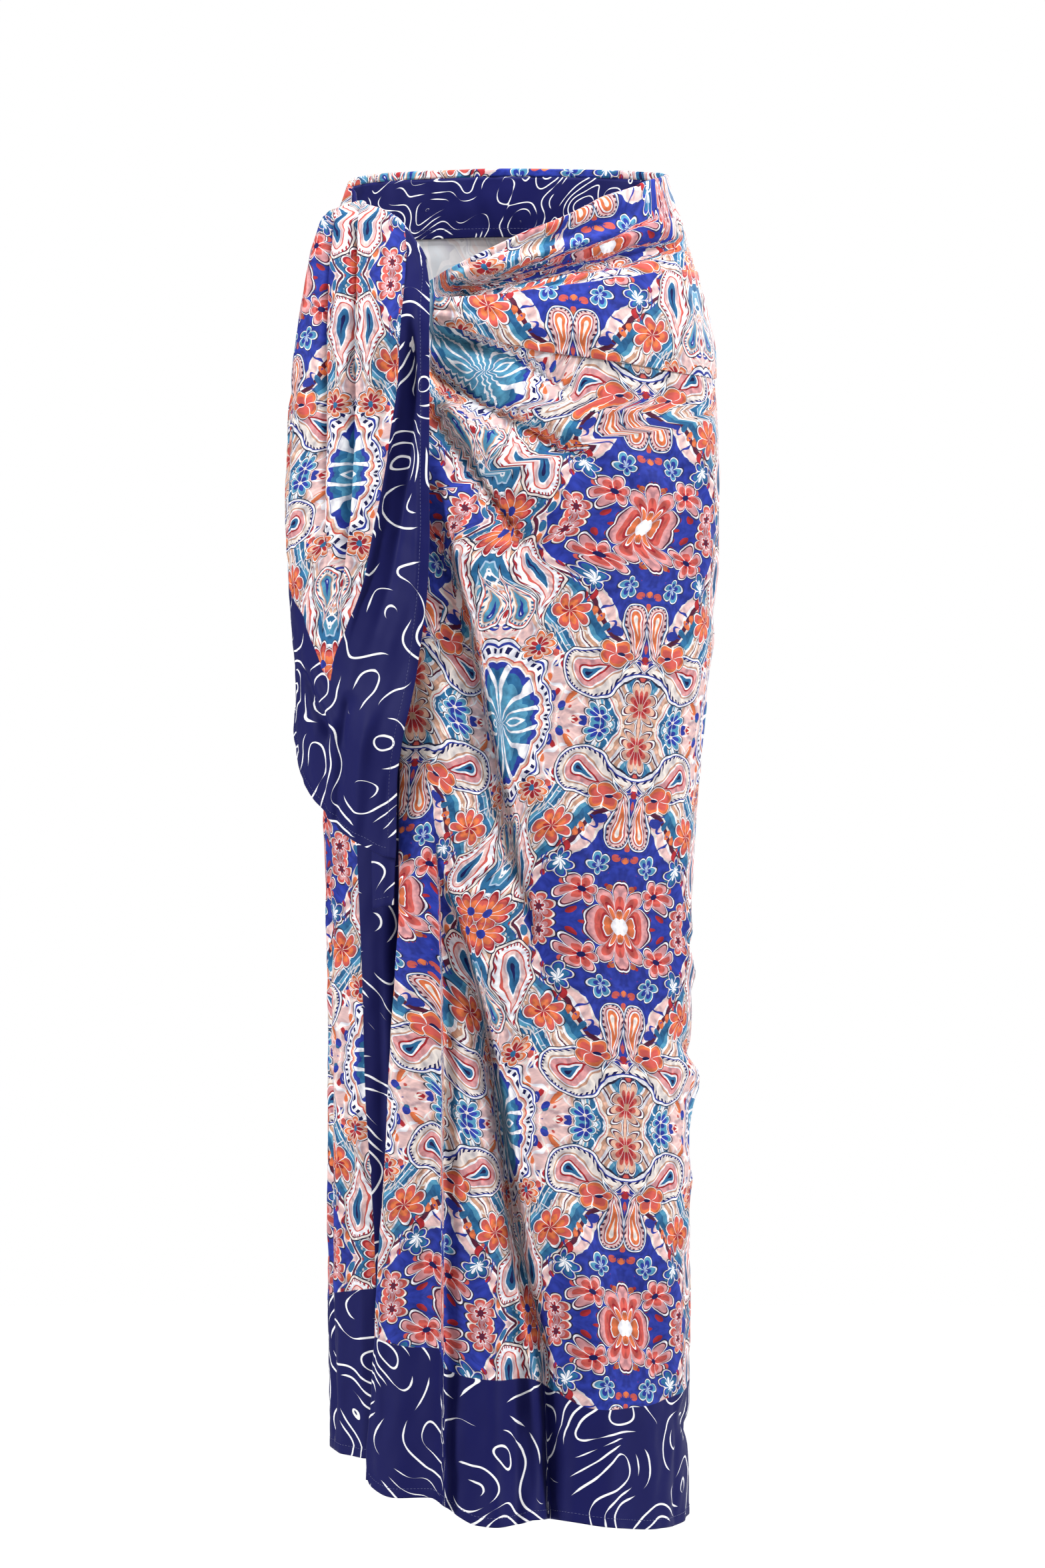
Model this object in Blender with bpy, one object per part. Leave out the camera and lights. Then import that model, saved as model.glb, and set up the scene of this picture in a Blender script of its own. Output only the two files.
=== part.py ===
"""A wrapped sarong, worn and tied at one hip: the solids of its cloth.

One rectangle of cloth is wound round the hips, so every stretch of it is a wall
that follows the same worn form. A place on the cloth is given by its turn round
the form and its height. Turn is in degrees: 0 is the front, 90 the side at +X,
180 the back and 270 the side at -X, where the cloth is tied. The wound cloth
runs on past a full turn, so its two ends lie over each other in front.

Tables are in millimetres and degrees. The origin is the middle of the waist.
"""
import bmesh
import bpy
import numpy as np

for old in list(bpy.data.objects):
    bpy.data.objects.remove(old, do_unlink=True)

MM = 0.001

# Driving sizes in millimetres
WALL = 2.0
SEAM = 0.4
LAYER_GAP = 0.6
FOLDOVER_GAP = 0.85
FOLDOVER = 52.0
DEGREE_WIDTH = 2.4      # a usual width of one degree of turn
HEM_ROLL = 5.0
HEM_RETURN = 45.0
RETURN_STOPS = (0.2, 0.4, 0.6, 0.8, 1.0)
RETURN_GAP = 1.5
KNOT_WIDTH = 44.0
KNOT_HEIGHT = 58.0
KNOT_DEPTH = 15.0

# Where each stretch is split into a skirt and a hip, and where its gathers begin, as
# shares of the way from the hem to the top edge. The gap is the seam at the split.
SPLIT = 0.46
SPLIT_GAP = 0.0004
GATHERS = 0.86

# Where the stretches of the wound cloth meet, in degrees of turn
FRONT_END = 100.0
BACK_END = 230.0
FOLDOVER_START = 80.0
FOLDOVER_END = 262.0

# Level sections of the worn cloth, as half sizes from the middle
FIGURE = [
    # height, left, right, front, back
    (10, 121, 123, 83, 89),
    (0, 122, 124, 84, 90),
    (-50, 138, 139, 91, 98),
    (-100, 148, 150, 97, 106),
    (-150, 155, 160, 101, 113),
    (-200, 159, 163, 104, 117),
    (-250, 160, 164, 106, 118),
    (-320, 157, 162, 107, 116),
    (-400, 151, 155, 107, 112),
    (-500, 145, 146, 106, 108),
    (-600, 143, 142, 106, 106),
    (-800, 143, 141, 107, 105),
    (-1050, 140, 138, 110, 106),
]

# Top edge of the wound cloth: it dips in front to the knot, and again under it
TOP_EDGE = [
    # turn, height
    (-60, -160), (-40, -118), (-32, -104), (-24, -89), (-15, -76), (-1, -59),
    (6, -51), (16, -42), (26, -32), (35, -23), (50, -15), (61, -9), (90, -2),
    (120, 3), (150, 7), (180, 8.6), (210, 6), (240, 1), (262, -5), (285, -16),
    (300, -38), (315, -75), (322, -95), (352, -150),
]

# Hem of the wound cloth: lowest across the front, rounded up at the front end
HEM_EDGE = [
    # turn, height
    (-56, -978), (-53, -985), (-47, -1007), (-35, -1015), (-25, -1014), (-21, -1020),
    (-15, -1029), (-9, -1035), (-3, -1036), (4, -1034), (9, -1031), (18, -1032),
    (32, -1037), (53, -1041), (68, -1041), (83, -1038), (110, -1030), (140, -1018),
    (180, -1003), (220, -992), (250, -985), (270, -982), (306, -988), (352, -984),
]

# Front end of the wound cloth, turned back inside along its whole height
FRONT_EDGE = [
    # height, turn
    (-100, -33), (-150, -31), (-250, -29.6), (-400, -31.5), (-530, -33), (-570, -33),
    (-610, -33.8), (-690, -36.2), (-770, -38.3), (-880, -42), (-940, -45), (-985, -48.6),
]

# The line along which the front's folds fan out from the knot
FAN_LINE = [
    # height, turn
    (-60, -20), (-110, -21), (-255, -22), (-340, -20), (-459, -15), (-560, -8), (-666, 0),
    (-763, 10.8), (-864, 22), (-991, 31), (-1041, 33),
]

# The inner end leaves the form and runs straight across behind the front
UNDER_EASE = [
    # turn, distance inward
    (230, 0), (250, 2), (270, 4), (285, 7), (300, 11), (315, 20), (330, 31), (352, 39),
]
UNDER_SHARE = [
    # height, share of that distance
    (10, 0.35), (-100, 0.55), (-250, 0.8), (-450, 1.0), (-1050, 1.0),
]
UNDER_LIMIT = [
    # height, turn of the inner end
    (-90, 322), (-160, 334), (-300, 348), (-1050, 350),
]

# Folds of the wound cloth. A fold runs down the cloth or across it. Rise is its height
# over the wall, or its depth where negative. Before and after are its half widths to
# the left and right, or below and above. The fades are the shares of its length over
# which it starts and ends.
OUTER_FOLDS = [
    # name, way, rise, before, after, fade in, fade out, path of (turn, height)
    ("tube ridge", "down", 8, 8, 17, 0.25, 0.3,
     [(-17, -215), (-12.8, -276), (-10, -322), (-4.7, -373), (-0.5, -413), (8, -499),
      (15, -560)]),
    ("main valley", "down", -9, 13, 13, 0.15, 0.35,
     [(-23, -255), (-16.4, -317), (-11.4, -362), (-4.5, -449), (3.1, -540), (16.9, -644),
      (25.5, -684), (44, -756)]),
    ("long ridge", "down", 7, 13, 11, 0.25, 0,
     [(-23.5, -340), (-17.8, -459), (-10.4, -560), (-1, -666), (10.8, -763), (25, -864),
      (34, -991), (34, -1045)]),
    ("deep recess", "down", -12, 9, 9, 0.3, 0,
     [(-26, -500), (-18.6, -545), (-10, -626), (-3.7, -707), (1.7, -783), (5, -828),
      (13.7, -910), (16, -991), (16, -1045)]),
    ("middle ridge", "down", 6, 11, 9, 0.3, 0,
     [(-17, -600), (-14.7, -666), (-10, -763), (-5.2, -864), (-3.1, -930), (-3, -1045)]),
    ("hem crease", "down", -5, 7, 7, 0.5, 0, [(3.4, -890), (3.4, -1045)]),
    ("lobe crest", "down", 7, 22, 14, 0.25, 0,
     [(-25, -470), (-29, -585), (-32, -661), (-34, -813), (-36, -1045)]),
    ("lobe edge", "down", -6, 7, 9, 0.3, 0,
     [(-18.5, -520), (-18.5, -687), (-18.2, -788), (-18.6, -1045)]),
    ("right crease", "down", -5, 10, 13, 0.3, 0.2,
     [(24, -750), (31.5, -813), (42, -855), (56, -895), (62, -960)]),
    ("upper diagonal", "across", -5, 8, 8, 0.1, 0.4,
     [(-24, -158), (-16.6, -166), (-7.4, -181), (3.3, -198), (12.6, -213), (23, -228),
      (32, -247)]),
    ("lower diagonal", "down", -6, 10, 12, 0.15, 0.4,
     [(-22, -185), (-15.3, -208), (-10.6, -231), (-2.5, -264), (5.2, -291), (16.3, -351)]),
    ("bridge ridge", "across", 4, 9, 11, 0.2, 0.4,
     [(-22, -176), (-12, -192), (-2, -218), (9, -246), (20, -280)]),
    ("first gather", "across", -5, 6, 6, 0.1, 0.25,
     [(-22, -96), (-8.2, -90), (5.4, -83), (15.1, -78), (32.6, -71), (52, -60), (70, -54)]),
    ("second gather", "across", 4.5, 6, 6, 0.1, 0.25,
     [(-20, -90), (-8, -80), (5.4, -73), (20, -64), (40, -52), (60, -43), (76, -39)]),
    ("third gather", "across", -4, 6, 6, 0.2, 0.3,
     [(-2, -71), (8, -63), (22, -52), (38, -40), (58, -30)]),
    ("top roll", "across", 3, 7, 7, 0.1, 0.4,
     [(-22, -88), (-1, -62), (16, -46), (35, -28), (61, -14)]),
    ("side ripple", "across", 3, 15, 12, 0.4, 0.4,
     [(58, -560), (78, -585), (98, -612), (118, -640)]),
    ("lower side ripple", "across", 4, 14, 12, 0.4, 0.4,
     [(50, -640), (72, -680), (92, -708), (120, -745)]),
    ("hip drape", "across", 4, 20, 16, 0.4, 0.4,
     [(70, -300), (88, -340), (110, -375), (150, -400)]),
    ("right back fold", "down", 7, 16, 18, 0.35, 0,
     [(122, -330), (126, -600), (131, -850), (133, -1045)]),
    ("right back hollow", "down", -6, 14, 14, 0.35, 0,
     [(141, -420), (147, -700), (151, -1045)]),
    ("middle back fold", "down", 7, 18, 15, 0.4, 0,
     [(160, -380), (168, -700), (171, -1045)]),
    ("middle back hollow", "down", -6, 12, 14, 0.35, 0,
     [(184, -460), (188, -700), (190, -1045)]),
    ("left back fold", "down", 6, 15, 15, 0.4, 0,
     [(205, -400), (206, -700), (206, -1045)]),
    ("seat drag", "across", 3.5, 14, 14, 0.4, 0.4,
     [(118, -150), (150, -180), (180, -190), (215, -165)]),
]
UNDER_FOLDS = [
    # name, way, rise, before, after, fade in, fade out, path of (turn, height)
    ("side fold", "down", 5, 12, 12, 0.4, 0, [(247, -420), (250, -700), (252, -1045)]),
    ("side hollow", "down", -4, 10, 10, 0.4, 0, [(265, -480), (267, -800), (268, -1045)]),
    ("strip crest", "down", 3, 12, 8, 0.3, 0, [(287, -430), (289, -700), (291, -1045)]),
    ("inner hollow", "down", -5, 10, 14, 0.3, 0, [(318, -450), (320, -700), (320, -1045)]),
]

# The wide pleat that crosses from the knot over the other hip. Its section is part of
# an arch from its lower edge to its upper one, and its inside is arched a little less.
BAND_ARCH_START = 0.03
BAND_ARCH_LENGTH = 0.89
BAND_INSIDE = 0.6
BAND = [
    # turn, upper height, lower height, rise
    (-21, -103, -121, 3.0), (-10, -102, -127, 4.2), (0, -100, -136, 4.6),
    (10, -96, -142, 4.6), (22, -92, -146, 4.4), (40, -86, -152, 4.0), (58, -80, -157, 3.2),
    (82, -78, -159, 2.0), (105, -80, -150, 1.6), (128, -88, -132, 1.4),
]

# The large tail falls from the knot over the hip: its edges, lift and folds
TAIL_BACK_EDGE = -104.0
TAIL_TOP = [
    # turn, height
    (-104, -46), (-90, -36), (-80, -31), (-66, -28), (-57, -25), (-50, -29), (-42, -34),
    (-36, -40), (-31, -50), (-28, -58), (-24, -72), (-22, -84), (-20, -99),
]
TAIL_LOW = [
    # turn, height
    (-104, -385), (-97, -415), (-90, -437), (-83, -456), (-76, -471), (-69, -485),
    (-61, -499), (-53, -510), (-44, -520), (-37, -527), (-20, -531),
]
TAIL_FRONT_EDGE = [
    # height, turn
    (-60, -27.5), (-72, -24), (-99, -21.5), (-140, -20.6), (-277, -20.1), (-327, -21),
    (-347, -22), (-383, -24.4), (-406, -26), (-444, -29.6), (-470, -31.9), (-532, -33.3),
]
TAIL_LIFT = [
    # height, lift over the form
    (-25, 5), (-40, 9), (-100, 10), (-190, 10), (-325, 11), (-380, 11), (-433, 16),
    (-464, 14), (-535, 11),
]
TAIL_FOLDS = [
    # name, way, rise, before, after, fade in, fade out, path of (turn, height)
    ("first tube", "down", 3.5, 14, 10, 0.1, 0.3,
     [(-78, -36), (-74, -110), (-71, -200), (-72, -330)]),
    ("first groove", "down", -4.5, 6, 6, 0.1, 0.3,
     [(-66.8, -40), (-62.8, -91), (-58.8, -138), (-56, -200), (-55, -275)]),
    ("second tube", "down", 3, 7, 7, 0.1, 0.3,
     [(-60, -30), (-54, -100), (-50, -180), (-50, -270), (-55, -340)]),
    ("second groove", "down", -4.5, 6, 6, 0.1, 0.3,
     [(-54, -30), (-46, -122), (-44.2, -180), (-45, -269), (-49, -320)]),
    ("third tube", "down", 4, 9, 7, 0.1, 0.3,
     [(-45, -40), (-37, -120), (-37, -200), (-41, -280), (-48, -350), (-54, -390)]),
    ("dark recess", "down", -4, 7, 8, 0.2, 0.4,
     [(-27, -80), (-26, -160), (-28.5, -230), (-32, -300), (-38, -360), (-44, -420)]),
    ("hem crest", "down", 2.5, 8, 7, 0.2, 0.3,
     [(-22, -110), (-22.5, -230), (-23, -330), (-30, -440), (-35, -500)]),
    ("lower crease", "down", -4, 8, 8, 0.2, 0.2, [(-58, -410), (-62, -460), (-66, -512)]),
    ("side crease", "down", -4, 9, 9, 0.3, 0.3, [(-96, -370), (-88, -420), (-80, -462)]),
]
# How far the knot pushes the tail out, and how fast that fades sideways and upward
TAIL_OVER_KNOT = 12.5
KNOT_FADE_SIDE = 2.2
KNOT_FADE_UP = 2.0

# Middle of the knot on the form, and the small tail that falls from behind it
KNOT_TURN = -31.0
KNOT_LEVEL = -122.0
KNOT_GROOVES = 3
KNOT_GROOVE_DEPTH = 0.10
KNOT_TWIST = 2.4
SMALL_TAIL = [
    # height, left turn, right turn, lift over the form
    (-149, -41, -31.4, 2.6), (-300, -41.5, -30.4, 2.6), (-450, -42.5, -33.5, 3.2),
    (-535, -44, -35, 5.0), (-566, -43.5, -35.5, 5.8),
]
SMALL_TAIL_CROWN = 0.8

# Rounds in which a point's turn and height settle to agree with each other
SETTLE_STEPS = 6

CLOTH_COLOUR = (0.74, 0.42, 0.36, 1)
BORDER_COLOUR = (0.035, 0.022, 0.26, 1)


def column(table, number):
    """One named column of a table as an array."""
    return np.array([row[number] for row in table], float)


def smooth(keys, values, at):
    """Values on a curve without overshoot through the rows of a table."""
    if keys[0] > keys[-1]:
        keys = keys[::-1]
        values = values[::-1]
    rise = np.diff(values) / np.diff(keys)
    slope = np.zeros(len(keys))
    slope[0] = rise[0]
    slope[-1] = rise[-1]
    both = rise[:-1] * rise[1:]
    safe = np.where(both > 0, rise[:-1] + rise[1:], 1.0)
    slope[1:-1] = np.where(both > 0, 2 * both / safe, 0.0)
    at = np.clip(at, keys[0], keys[-1])
    row = np.clip(np.searchsorted(keys, at) - 1, 0, len(keys) - 2)
    span = keys[row + 1] - keys[row]
    part = (at - keys[row]) / span
    start = values[row]
    step = values[row + 1] - start
    bend = part * (1 - part)
    lean = slope[row] * (1 - part) - slope[row + 1] * part
    return start + step * part * part * (3 - 2 * part) + bend * lean * span


def read(table, at):
    """The second column of a table, at any value of the first."""
    return smooth(column(table, 0), column(table, 1), at)


def ease(share):
    """A soft step from 0 to 1."""
    share = np.clip(share, 0, 1)
    return share * share * (3 - 2 * share)


def lift_of(folds, turn, height):
    """What a table of folds adds to the wall at each place, in millimetres."""
    lift = np.zeros(np.broadcast(turn, height).shape)
    for name, way, rise, before, after, fade_in, fade_out, path in folds:
        turns = column(path, 0)
        heights = column(path, 1)
        down = way == "down"
        along = height if down else turn
        keys = heights if down else turns
        places = turns if down else heights
        centre = smooth(keys, places, along)
        lean = smooth(keys, places, along + 1) - smooth(keys, places, along - 1)
        if down:
            away = (turn - centre) * DEGREE_WIDTH
            lean = lean * DEGREE_WIDTH / 2
        else:
            away = height - centre
            lean = lean / DEGREE_WIDTH / 2
        away = away / np.sqrt(1 + lean * lean)
        share = (along - keys[0]) / (keys[-1] - keys[0])
        weight = np.where((share < 0) | (share > 1), 0.0, 1.0)
        if fade_in:
            weight = weight * ease(share / fade_in)
        if fade_out:
            weight = weight * ease((1 - share) / fade_out)
        width = np.where(away < 0, before, after)
        lift += rise * weight * np.exp(-(away / width) ** 2)
    return lift


def outward(turn, height):
    """The form's half sizes there and the level direction out of it."""
    angle = np.radians(turn)
    left = smooth(column(FIGURE, 0), column(FIGURE, 1), height)
    right = smooth(column(FIGURE, 0), column(FIGURE, 2), height)
    front = smooth(column(FIGURE, 0), column(FIGURE, 3), height)
    back = smooth(column(FIGURE, 0), column(FIGURE, 4), height)
    side = (left + right) / 2 + (right - left) / 2 * np.sin(angle)
    depth = (front + back) / 2 + (front - back) / 2 * np.cos(angle)
    away_x = depth * np.sin(angle)
    away_y = -side * np.cos(angle)
    length = np.hypot(away_x, away_y)
    return side, depth, away_x / length, away_y / length


def on_form(turn, height, lift):
    """Points in millimetres that lie a given lift outside the worn form."""
    turn, height, lift = np.broadcast_arrays(turn, height, lift)
    side, depth, away_x, away_y = outward(turn, height)
    angle = np.radians(turn)
    x = side * np.sin(angle) + lift * away_x
    y = -depth * np.cos(angle) + lift * away_y
    return np.stack([x, y, height], axis=-1)


def wound_lift(turn, height):
    """Lift of the wound cloth's outer face, along its whole winding."""
    outer = lift_of(OUTER_FOLDS, turn, height)
    inner = lift_of(UNDER_FOLDS, turn, height)
    inner = inner - read(UNDER_EASE, turn) * read(UNDER_SHARE, height)
    return np.where(turn > BACK_END, inner, outer)


def heights_at(turn, share):
    """Height at a share of the way from the hem to the top edge."""
    low = read(HEM_EDGE, turn)
    return low + (read(TOP_EDGE, turn) - low) * share


def solid(name, outer, inner, colour):
    """One closed wall between two grids of points, as an object of its own."""
    rows, columns = outer.shape[:2]
    points = np.concatenate([outer.reshape(-1, 3), inner.reshape(-1, 3)]) * MM
    grid = np.arange(rows * columns).reshape(rows, columns)
    behind = grid + rows * columns
    faces = []
    for row in range(rows - 1):
        for place in range(columns - 1):
            quad = [(row, place), (row, place + 1), (row + 1, place + 1), (row + 1, place)]
            faces.append([grid[corner] for corner in quad])
            faces.append([behind[corner] for corner in reversed(quad)])
    edge = [(0, place) for place in range(columns)]
    edge += [(row, columns - 1) for row in range(1, rows)]
    edge += [(rows - 1, place) for place in range(columns - 2, -1, -1)]
    edge += [(row, 0) for row in range(rows - 2, 0, -1)]
    for start, end in zip(edge, edge[1:] + edge[:1]):
        faces.append([grid[end], grid[start], behind[start], behind[end]])
    return make_object(name, points, faces, colour)


def make_object(name, points, faces, colour):
    """A mesh object with its own cloth material, its faces pointing out."""
    mesh = bpy.data.meshes.new(name)
    mesh.from_pydata([tuple(point) for point in points], [], faces)
    work = bmesh.new()
    work.from_mesh(mesh)
    bmesh.ops.triangulate(work, faces=work.faces[:])
    if work.calc_volume(signed=True) < 0:
        bmesh.ops.reverse_faces(work, faces=work.faces[:])
    work.to_mesh(mesh)
    work.free()
    material = bpy.data.materials.new(name + "_cloth")
    material.use_nodes = True
    shader = material.node_tree.nodes["Principled BSDF"]
    shader.inputs["Base Color"].default_value = colour
    shader.inputs["Roughness"].default_value = 0.62
    shader.inputs["Metallic"].default_value = 0.0
    mesh.materials.append(material)
    mesh.shade_smooth()
    piece = bpy.data.objects.new(name, mesh)
    bpy.context.scene.collection.objects.link(piece)
    return piece


def shares(start, *stops):
    """Shares from a start, spaced evenly between stops of (share, count)."""
    out = [start]
    for share, count in stops:
        out += list(np.linspace(out[-1], share, count + 1)[1:])
    return np.array(out)


# Rows from the hem up: closer together where the waist is gathered. Each stretch is made
# in two lengths, the skirt below and the hip above.
FRONT_SKIRT_ROWS = shares(0.0, (SPLIT, 10))
FRONT_HIP_ROWS = shares(SPLIT + SPLIT_GAP, (GATHERS, 8), (1.0, 14))
PLAIN_SKIRT_ROWS = shares(0.0, (SPLIT, 8))
PLAIN_HIP_ROWS = shares(SPLIT + SPLIT_GAP, (GATHERS, 7), (1.0, 5))


def front(name, rows):
    """The front and the +X side, with its free end rolled back inside."""
    level = rows[:, None]
    start = np.full(level.shape, -35.0)
    middle = np.full(level.shape, 0.0)
    for _ in range(SETTLE_STEPS):
        start = read(FRONT_EDGE, heights_at(start, level))
        middle = read(FAN_LINE, heights_at(middle, level))
    end = FRONT_END - SEAM / DEGREE_WIDTH
    fan = np.linspace(0, 1, 27)[None, :]
    side = np.linspace(0, 1, 23)[None, 1:]
    turn = np.concatenate([start + (middle - start) * fan, middle + (end - middle) * side],
                          axis=1)
    height = heights_at(turn, level)
    lift = wound_lift(turn, height)
    outer = on_form(turn, height, lift)
    inner = on_form(turn, height, lift - WALL)
    # The rolled end turns through half a circle and runs back behind the front
    first = lift[:, :1]
    outer_roll = []
    inner_roll = []
    roll_height = height[:, :1]
    for angle in np.radians([180, 135, 90, 45]):
        sink = HEM_ROLL * (1 - np.cos(angle))
        ahead = HEM_ROLL * np.sin(angle) / DEGREE_WIDTH
        small = HEM_ROLL - WALL
        inner_sink = WALL + small * (1 - np.cos(angle))
        inner_ahead = small * np.sin(angle) / DEGREE_WIDTH
        outer_roll.append(on_form(start - ahead, roll_height, first - sink))
        inner_roll.append(on_form(start - inner_ahead, roll_height, first - inner_sink))
    for part in RETURN_STOPS:
        reach = start + HEM_RETURN / DEGREE_WIDTH * part
        behind = wound_lift(reach, roll_height) - 2 * WALL - RETURN_GAP
        sunk = np.minimum(first - 2 * HEM_ROLL, behind)
        outer_roll.insert(0, on_form(reach, roll_height, sunk))
        inner_roll.insert(0, on_form(reach, roll_height, sunk + WALL))
    outer = np.concatenate(outer_roll + [outer], axis=1)
    inner = np.concatenate(inner_roll + [inner], axis=1)
    return solid(name, outer, inner, CLOTH_COLOUR)


def back(name, rows):
    """The back, which joins the front at one side and the inner end at the other."""
    level = rows[:, None]
    turn = np.linspace(FRONT_END, BACK_END - SEAM / DEGREE_WIDTH, 20)[None, :]
    height = heights_at(turn, level)
    lift = wound_lift(turn, height)
    return solid(name, on_form(turn, height, lift),
                 on_form(turn, height, lift - WALL), CLOTH_COLOUR)


def under(name, rows):
    """The side at -X and the inner end, which crosses behind the front."""
    level = rows[:, None]
    end = np.full(level.shape, 335.0)
    for _ in range(SETTLE_STEPS):
        end = read(UNDER_LIMIT, heights_at(end, level))
    across = np.linspace(0, 1, 20)[None, :]
    turn = BACK_END + 0.001 + (end - BACK_END) * across
    height = heights_at(turn, level)
    lift = wound_lift(turn, height)
    return solid(name, on_form(turn, height, lift),
                 on_form(turn, height, lift - WALL), CLOTH_COLOUR)


def waist_foldover():
    """The top edge of the cloth turned down inside the back and both sides."""
    turn = np.linspace(FOLDOVER_START, FOLDOVER_END, 37)[None, :]
    down = np.linspace(0.6, FOLDOVER, 5)[:, None]
    height = read(TOP_EDGE, turn) - down
    lift = wound_lift(turn, height) - WALL - FOLDOVER_GAP
    return solid("waist_foldover", on_form(turn, height, lift),
                 on_form(turn, height, lift - WALL), BORDER_COLOUR)


def hip_band():
    """The wide pleat over the front, made from the front's own points moved out."""
    turns = column(BAND, 0)
    turn = np.linspace(turns[0], turns[-1], 38)[None, :]
    part = np.linspace(0, 1, 8)[:, None]
    upper = smooth(turns, column(BAND, 1), turn)
    lower = smooth(turns, column(BAND, 2), turn)
    rise = smooth(turns, column(BAND, 3), turn)
    height = lower + (upper - lower) * part
    arch = rise * np.sin(np.pi * (BAND_ARCH_START + BAND_ARCH_LENGTH * part))
    base = wound_lift(turn, height) + LAYER_GAP
    return solid("hip_band", on_form(turn, height, base + WALL + arch),
                 on_form(turn, height, base + BAND_INSIDE * arch), CLOTH_COLOUR)


def tail_lift(turn, height):
    """Lift of the large tail's outer face: over the form, and more over the knot."""
    lift = read(TAIL_LIFT, height) + lift_of(TAIL_FOLDS, turn, height)
    aside = (turn - KNOT_TURN) * DEGREE_WIDTH / KNOT_WIDTH
    above = (height - KNOT_LEVEL) / KNOT_HEIGHT
    spread = KNOT_FADE_SIDE * aside ** 2 + KNOT_FADE_UP * above ** 2
    return lift + TAIL_OVER_KNOT * np.exp(-spread)


def large_tail():
    """The large tail, which falls from over the knot and wraps the hip."""
    level = np.linspace(0, 1, 21)[:, None]
    across = np.linspace(0, 1, 26)[None, :]
    turn = TAIL_BACK_EDGE + (TAIL_FRONT_EDGE[0][1] - TAIL_BACK_EDGE) * across + 0 * level
    for _ in range(SETTLE_STEPS):
        low = read(TAIL_LOW, turn)
        height = low + (read(TAIL_TOP, turn) - low) * level
        end = read(TAIL_FRONT_EDGE, height)
        turn = TAIL_BACK_EDGE + (end - TAIL_BACK_EDGE) * across
    low = read(TAIL_LOW, turn)
    height = low + (read(TAIL_TOP, turn) - low) * level
    lift = tail_lift(turn, height)
    return solid("large_tail", on_form(turn, height, lift),
                 on_form(turn, height, lift - WALL), CLOTH_COLOUR)


def small_tail():
    """The short end of the other corner, under the large tail."""
    heights = column(SMALL_TAIL, 0)
    height = np.linspace(heights[0], heights[-1], 11)[:, None]
    left = smooth(heights, column(SMALL_TAIL, 1), height)
    right = smooth(heights, column(SMALL_TAIL, 2), height)
    across = np.linspace(0, 1, 6)[None, :]
    turn = left + (right - left) * across
    lift = smooth(heights, column(SMALL_TAIL, 3), height)
    lift = lift + SMALL_TAIL_CROWN * np.sin(np.pi * across)
    return solid("small_tail", on_form(turn, height, lift),
                 on_form(turn, height, lift - WALL), BORDER_COLOUR)


def knot():
    """The two corners tied together: a flattened lump with crossing grooves."""
    around = np.linspace(0, 2 * np.pi, 28, endpoint=False)
    rings = np.linspace(0, np.pi, 12)[1:-1]
    points = []
    for ring in rings:
        for angle in around:
            crossing = np.cos(KNOT_GROOVES * angle + KNOT_TWIST * ring)
            groove = 1 - KNOT_GROOVE_DEPTH * crossing ** 8
            wide = np.sin(ring) * np.cos(angle) * groove
            tall = np.sin(ring) * np.sin(angle) * groove
            deep = np.cos(ring)
            points.append((wide, tall, deep))
    points.append((0, 0, 1))
    points.append((0, 0, -1))
    unit = np.array(points)
    turn = KNOT_TURN + unit[:, 0] * KNOT_WIDTH / 2 / DEGREE_WIDTH
    height = KNOT_LEVEL + unit[:, 1] * KNOT_HEIGHT / 2
    lift = LAYER_GAP + KNOT_DEPTH * (0.5 + 0.5 * unit[:, 2])
    placed = on_form(turn, height, lift) * MM
    count = len(around)
    faces = []
    for ring in range(len(rings) - 1):
        for place in range(count):
            after = (place + 1) % count
            faces.append([ring * count + place, ring * count + after,
                          (ring + 1) * count + after, (ring + 1) * count + place])
    last = (len(rings) - 1) * count
    for place in range(count):
        after = (place + 1) % count
        faces.append([len(points) - 2, after, place])
        faces.append([len(points) - 1, last + place, last + after])
    return make_object("knot", placed, faces, CLOTH_COLOUR)


front("front_skirt", FRONT_SKIRT_ROWS)
front("front_hip", FRONT_HIP_ROWS)
back("back_skirt", PLAIN_SKIRT_ROWS)
back("back_hip", PLAIN_HIP_ROWS)
under("under_skirt", PLAIN_SKIRT_ROWS)
under("under_hip", PLAIN_HIP_ROWS)
waist_foldover()
hip_band()
knot()
large_tail()
small_tail()
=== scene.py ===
# %% [markdown]
# # A printed wrap sarong, knotted at one hip
# One rectangle of thin printed cloth is wound once and a little more round a figure and
# tied by two corners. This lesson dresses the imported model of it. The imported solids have
# the true size and the main folds, so they are kept as the frame, and each one is
# replaced by a thin shell that follows the same form with finer creases. The shells are
# computed from short tables, because then every fold has its own place, width and depth,
# and neighbouring layers can be kept apart by adding to one shared surface.

import bmesh
import bpy
import numpy as np
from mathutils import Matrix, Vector


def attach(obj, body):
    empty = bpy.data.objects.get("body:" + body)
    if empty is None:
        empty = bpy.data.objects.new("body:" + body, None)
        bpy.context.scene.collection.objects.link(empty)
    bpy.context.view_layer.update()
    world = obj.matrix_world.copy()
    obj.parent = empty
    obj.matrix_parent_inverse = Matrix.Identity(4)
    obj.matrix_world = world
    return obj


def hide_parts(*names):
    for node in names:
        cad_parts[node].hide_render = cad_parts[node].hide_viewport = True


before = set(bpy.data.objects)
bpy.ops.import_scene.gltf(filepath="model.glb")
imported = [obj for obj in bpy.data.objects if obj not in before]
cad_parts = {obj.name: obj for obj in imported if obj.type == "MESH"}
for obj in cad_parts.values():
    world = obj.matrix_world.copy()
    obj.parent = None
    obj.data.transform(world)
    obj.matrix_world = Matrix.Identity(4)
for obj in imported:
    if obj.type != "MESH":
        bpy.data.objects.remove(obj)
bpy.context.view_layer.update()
print("nodes:", sorted(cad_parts))

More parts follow.
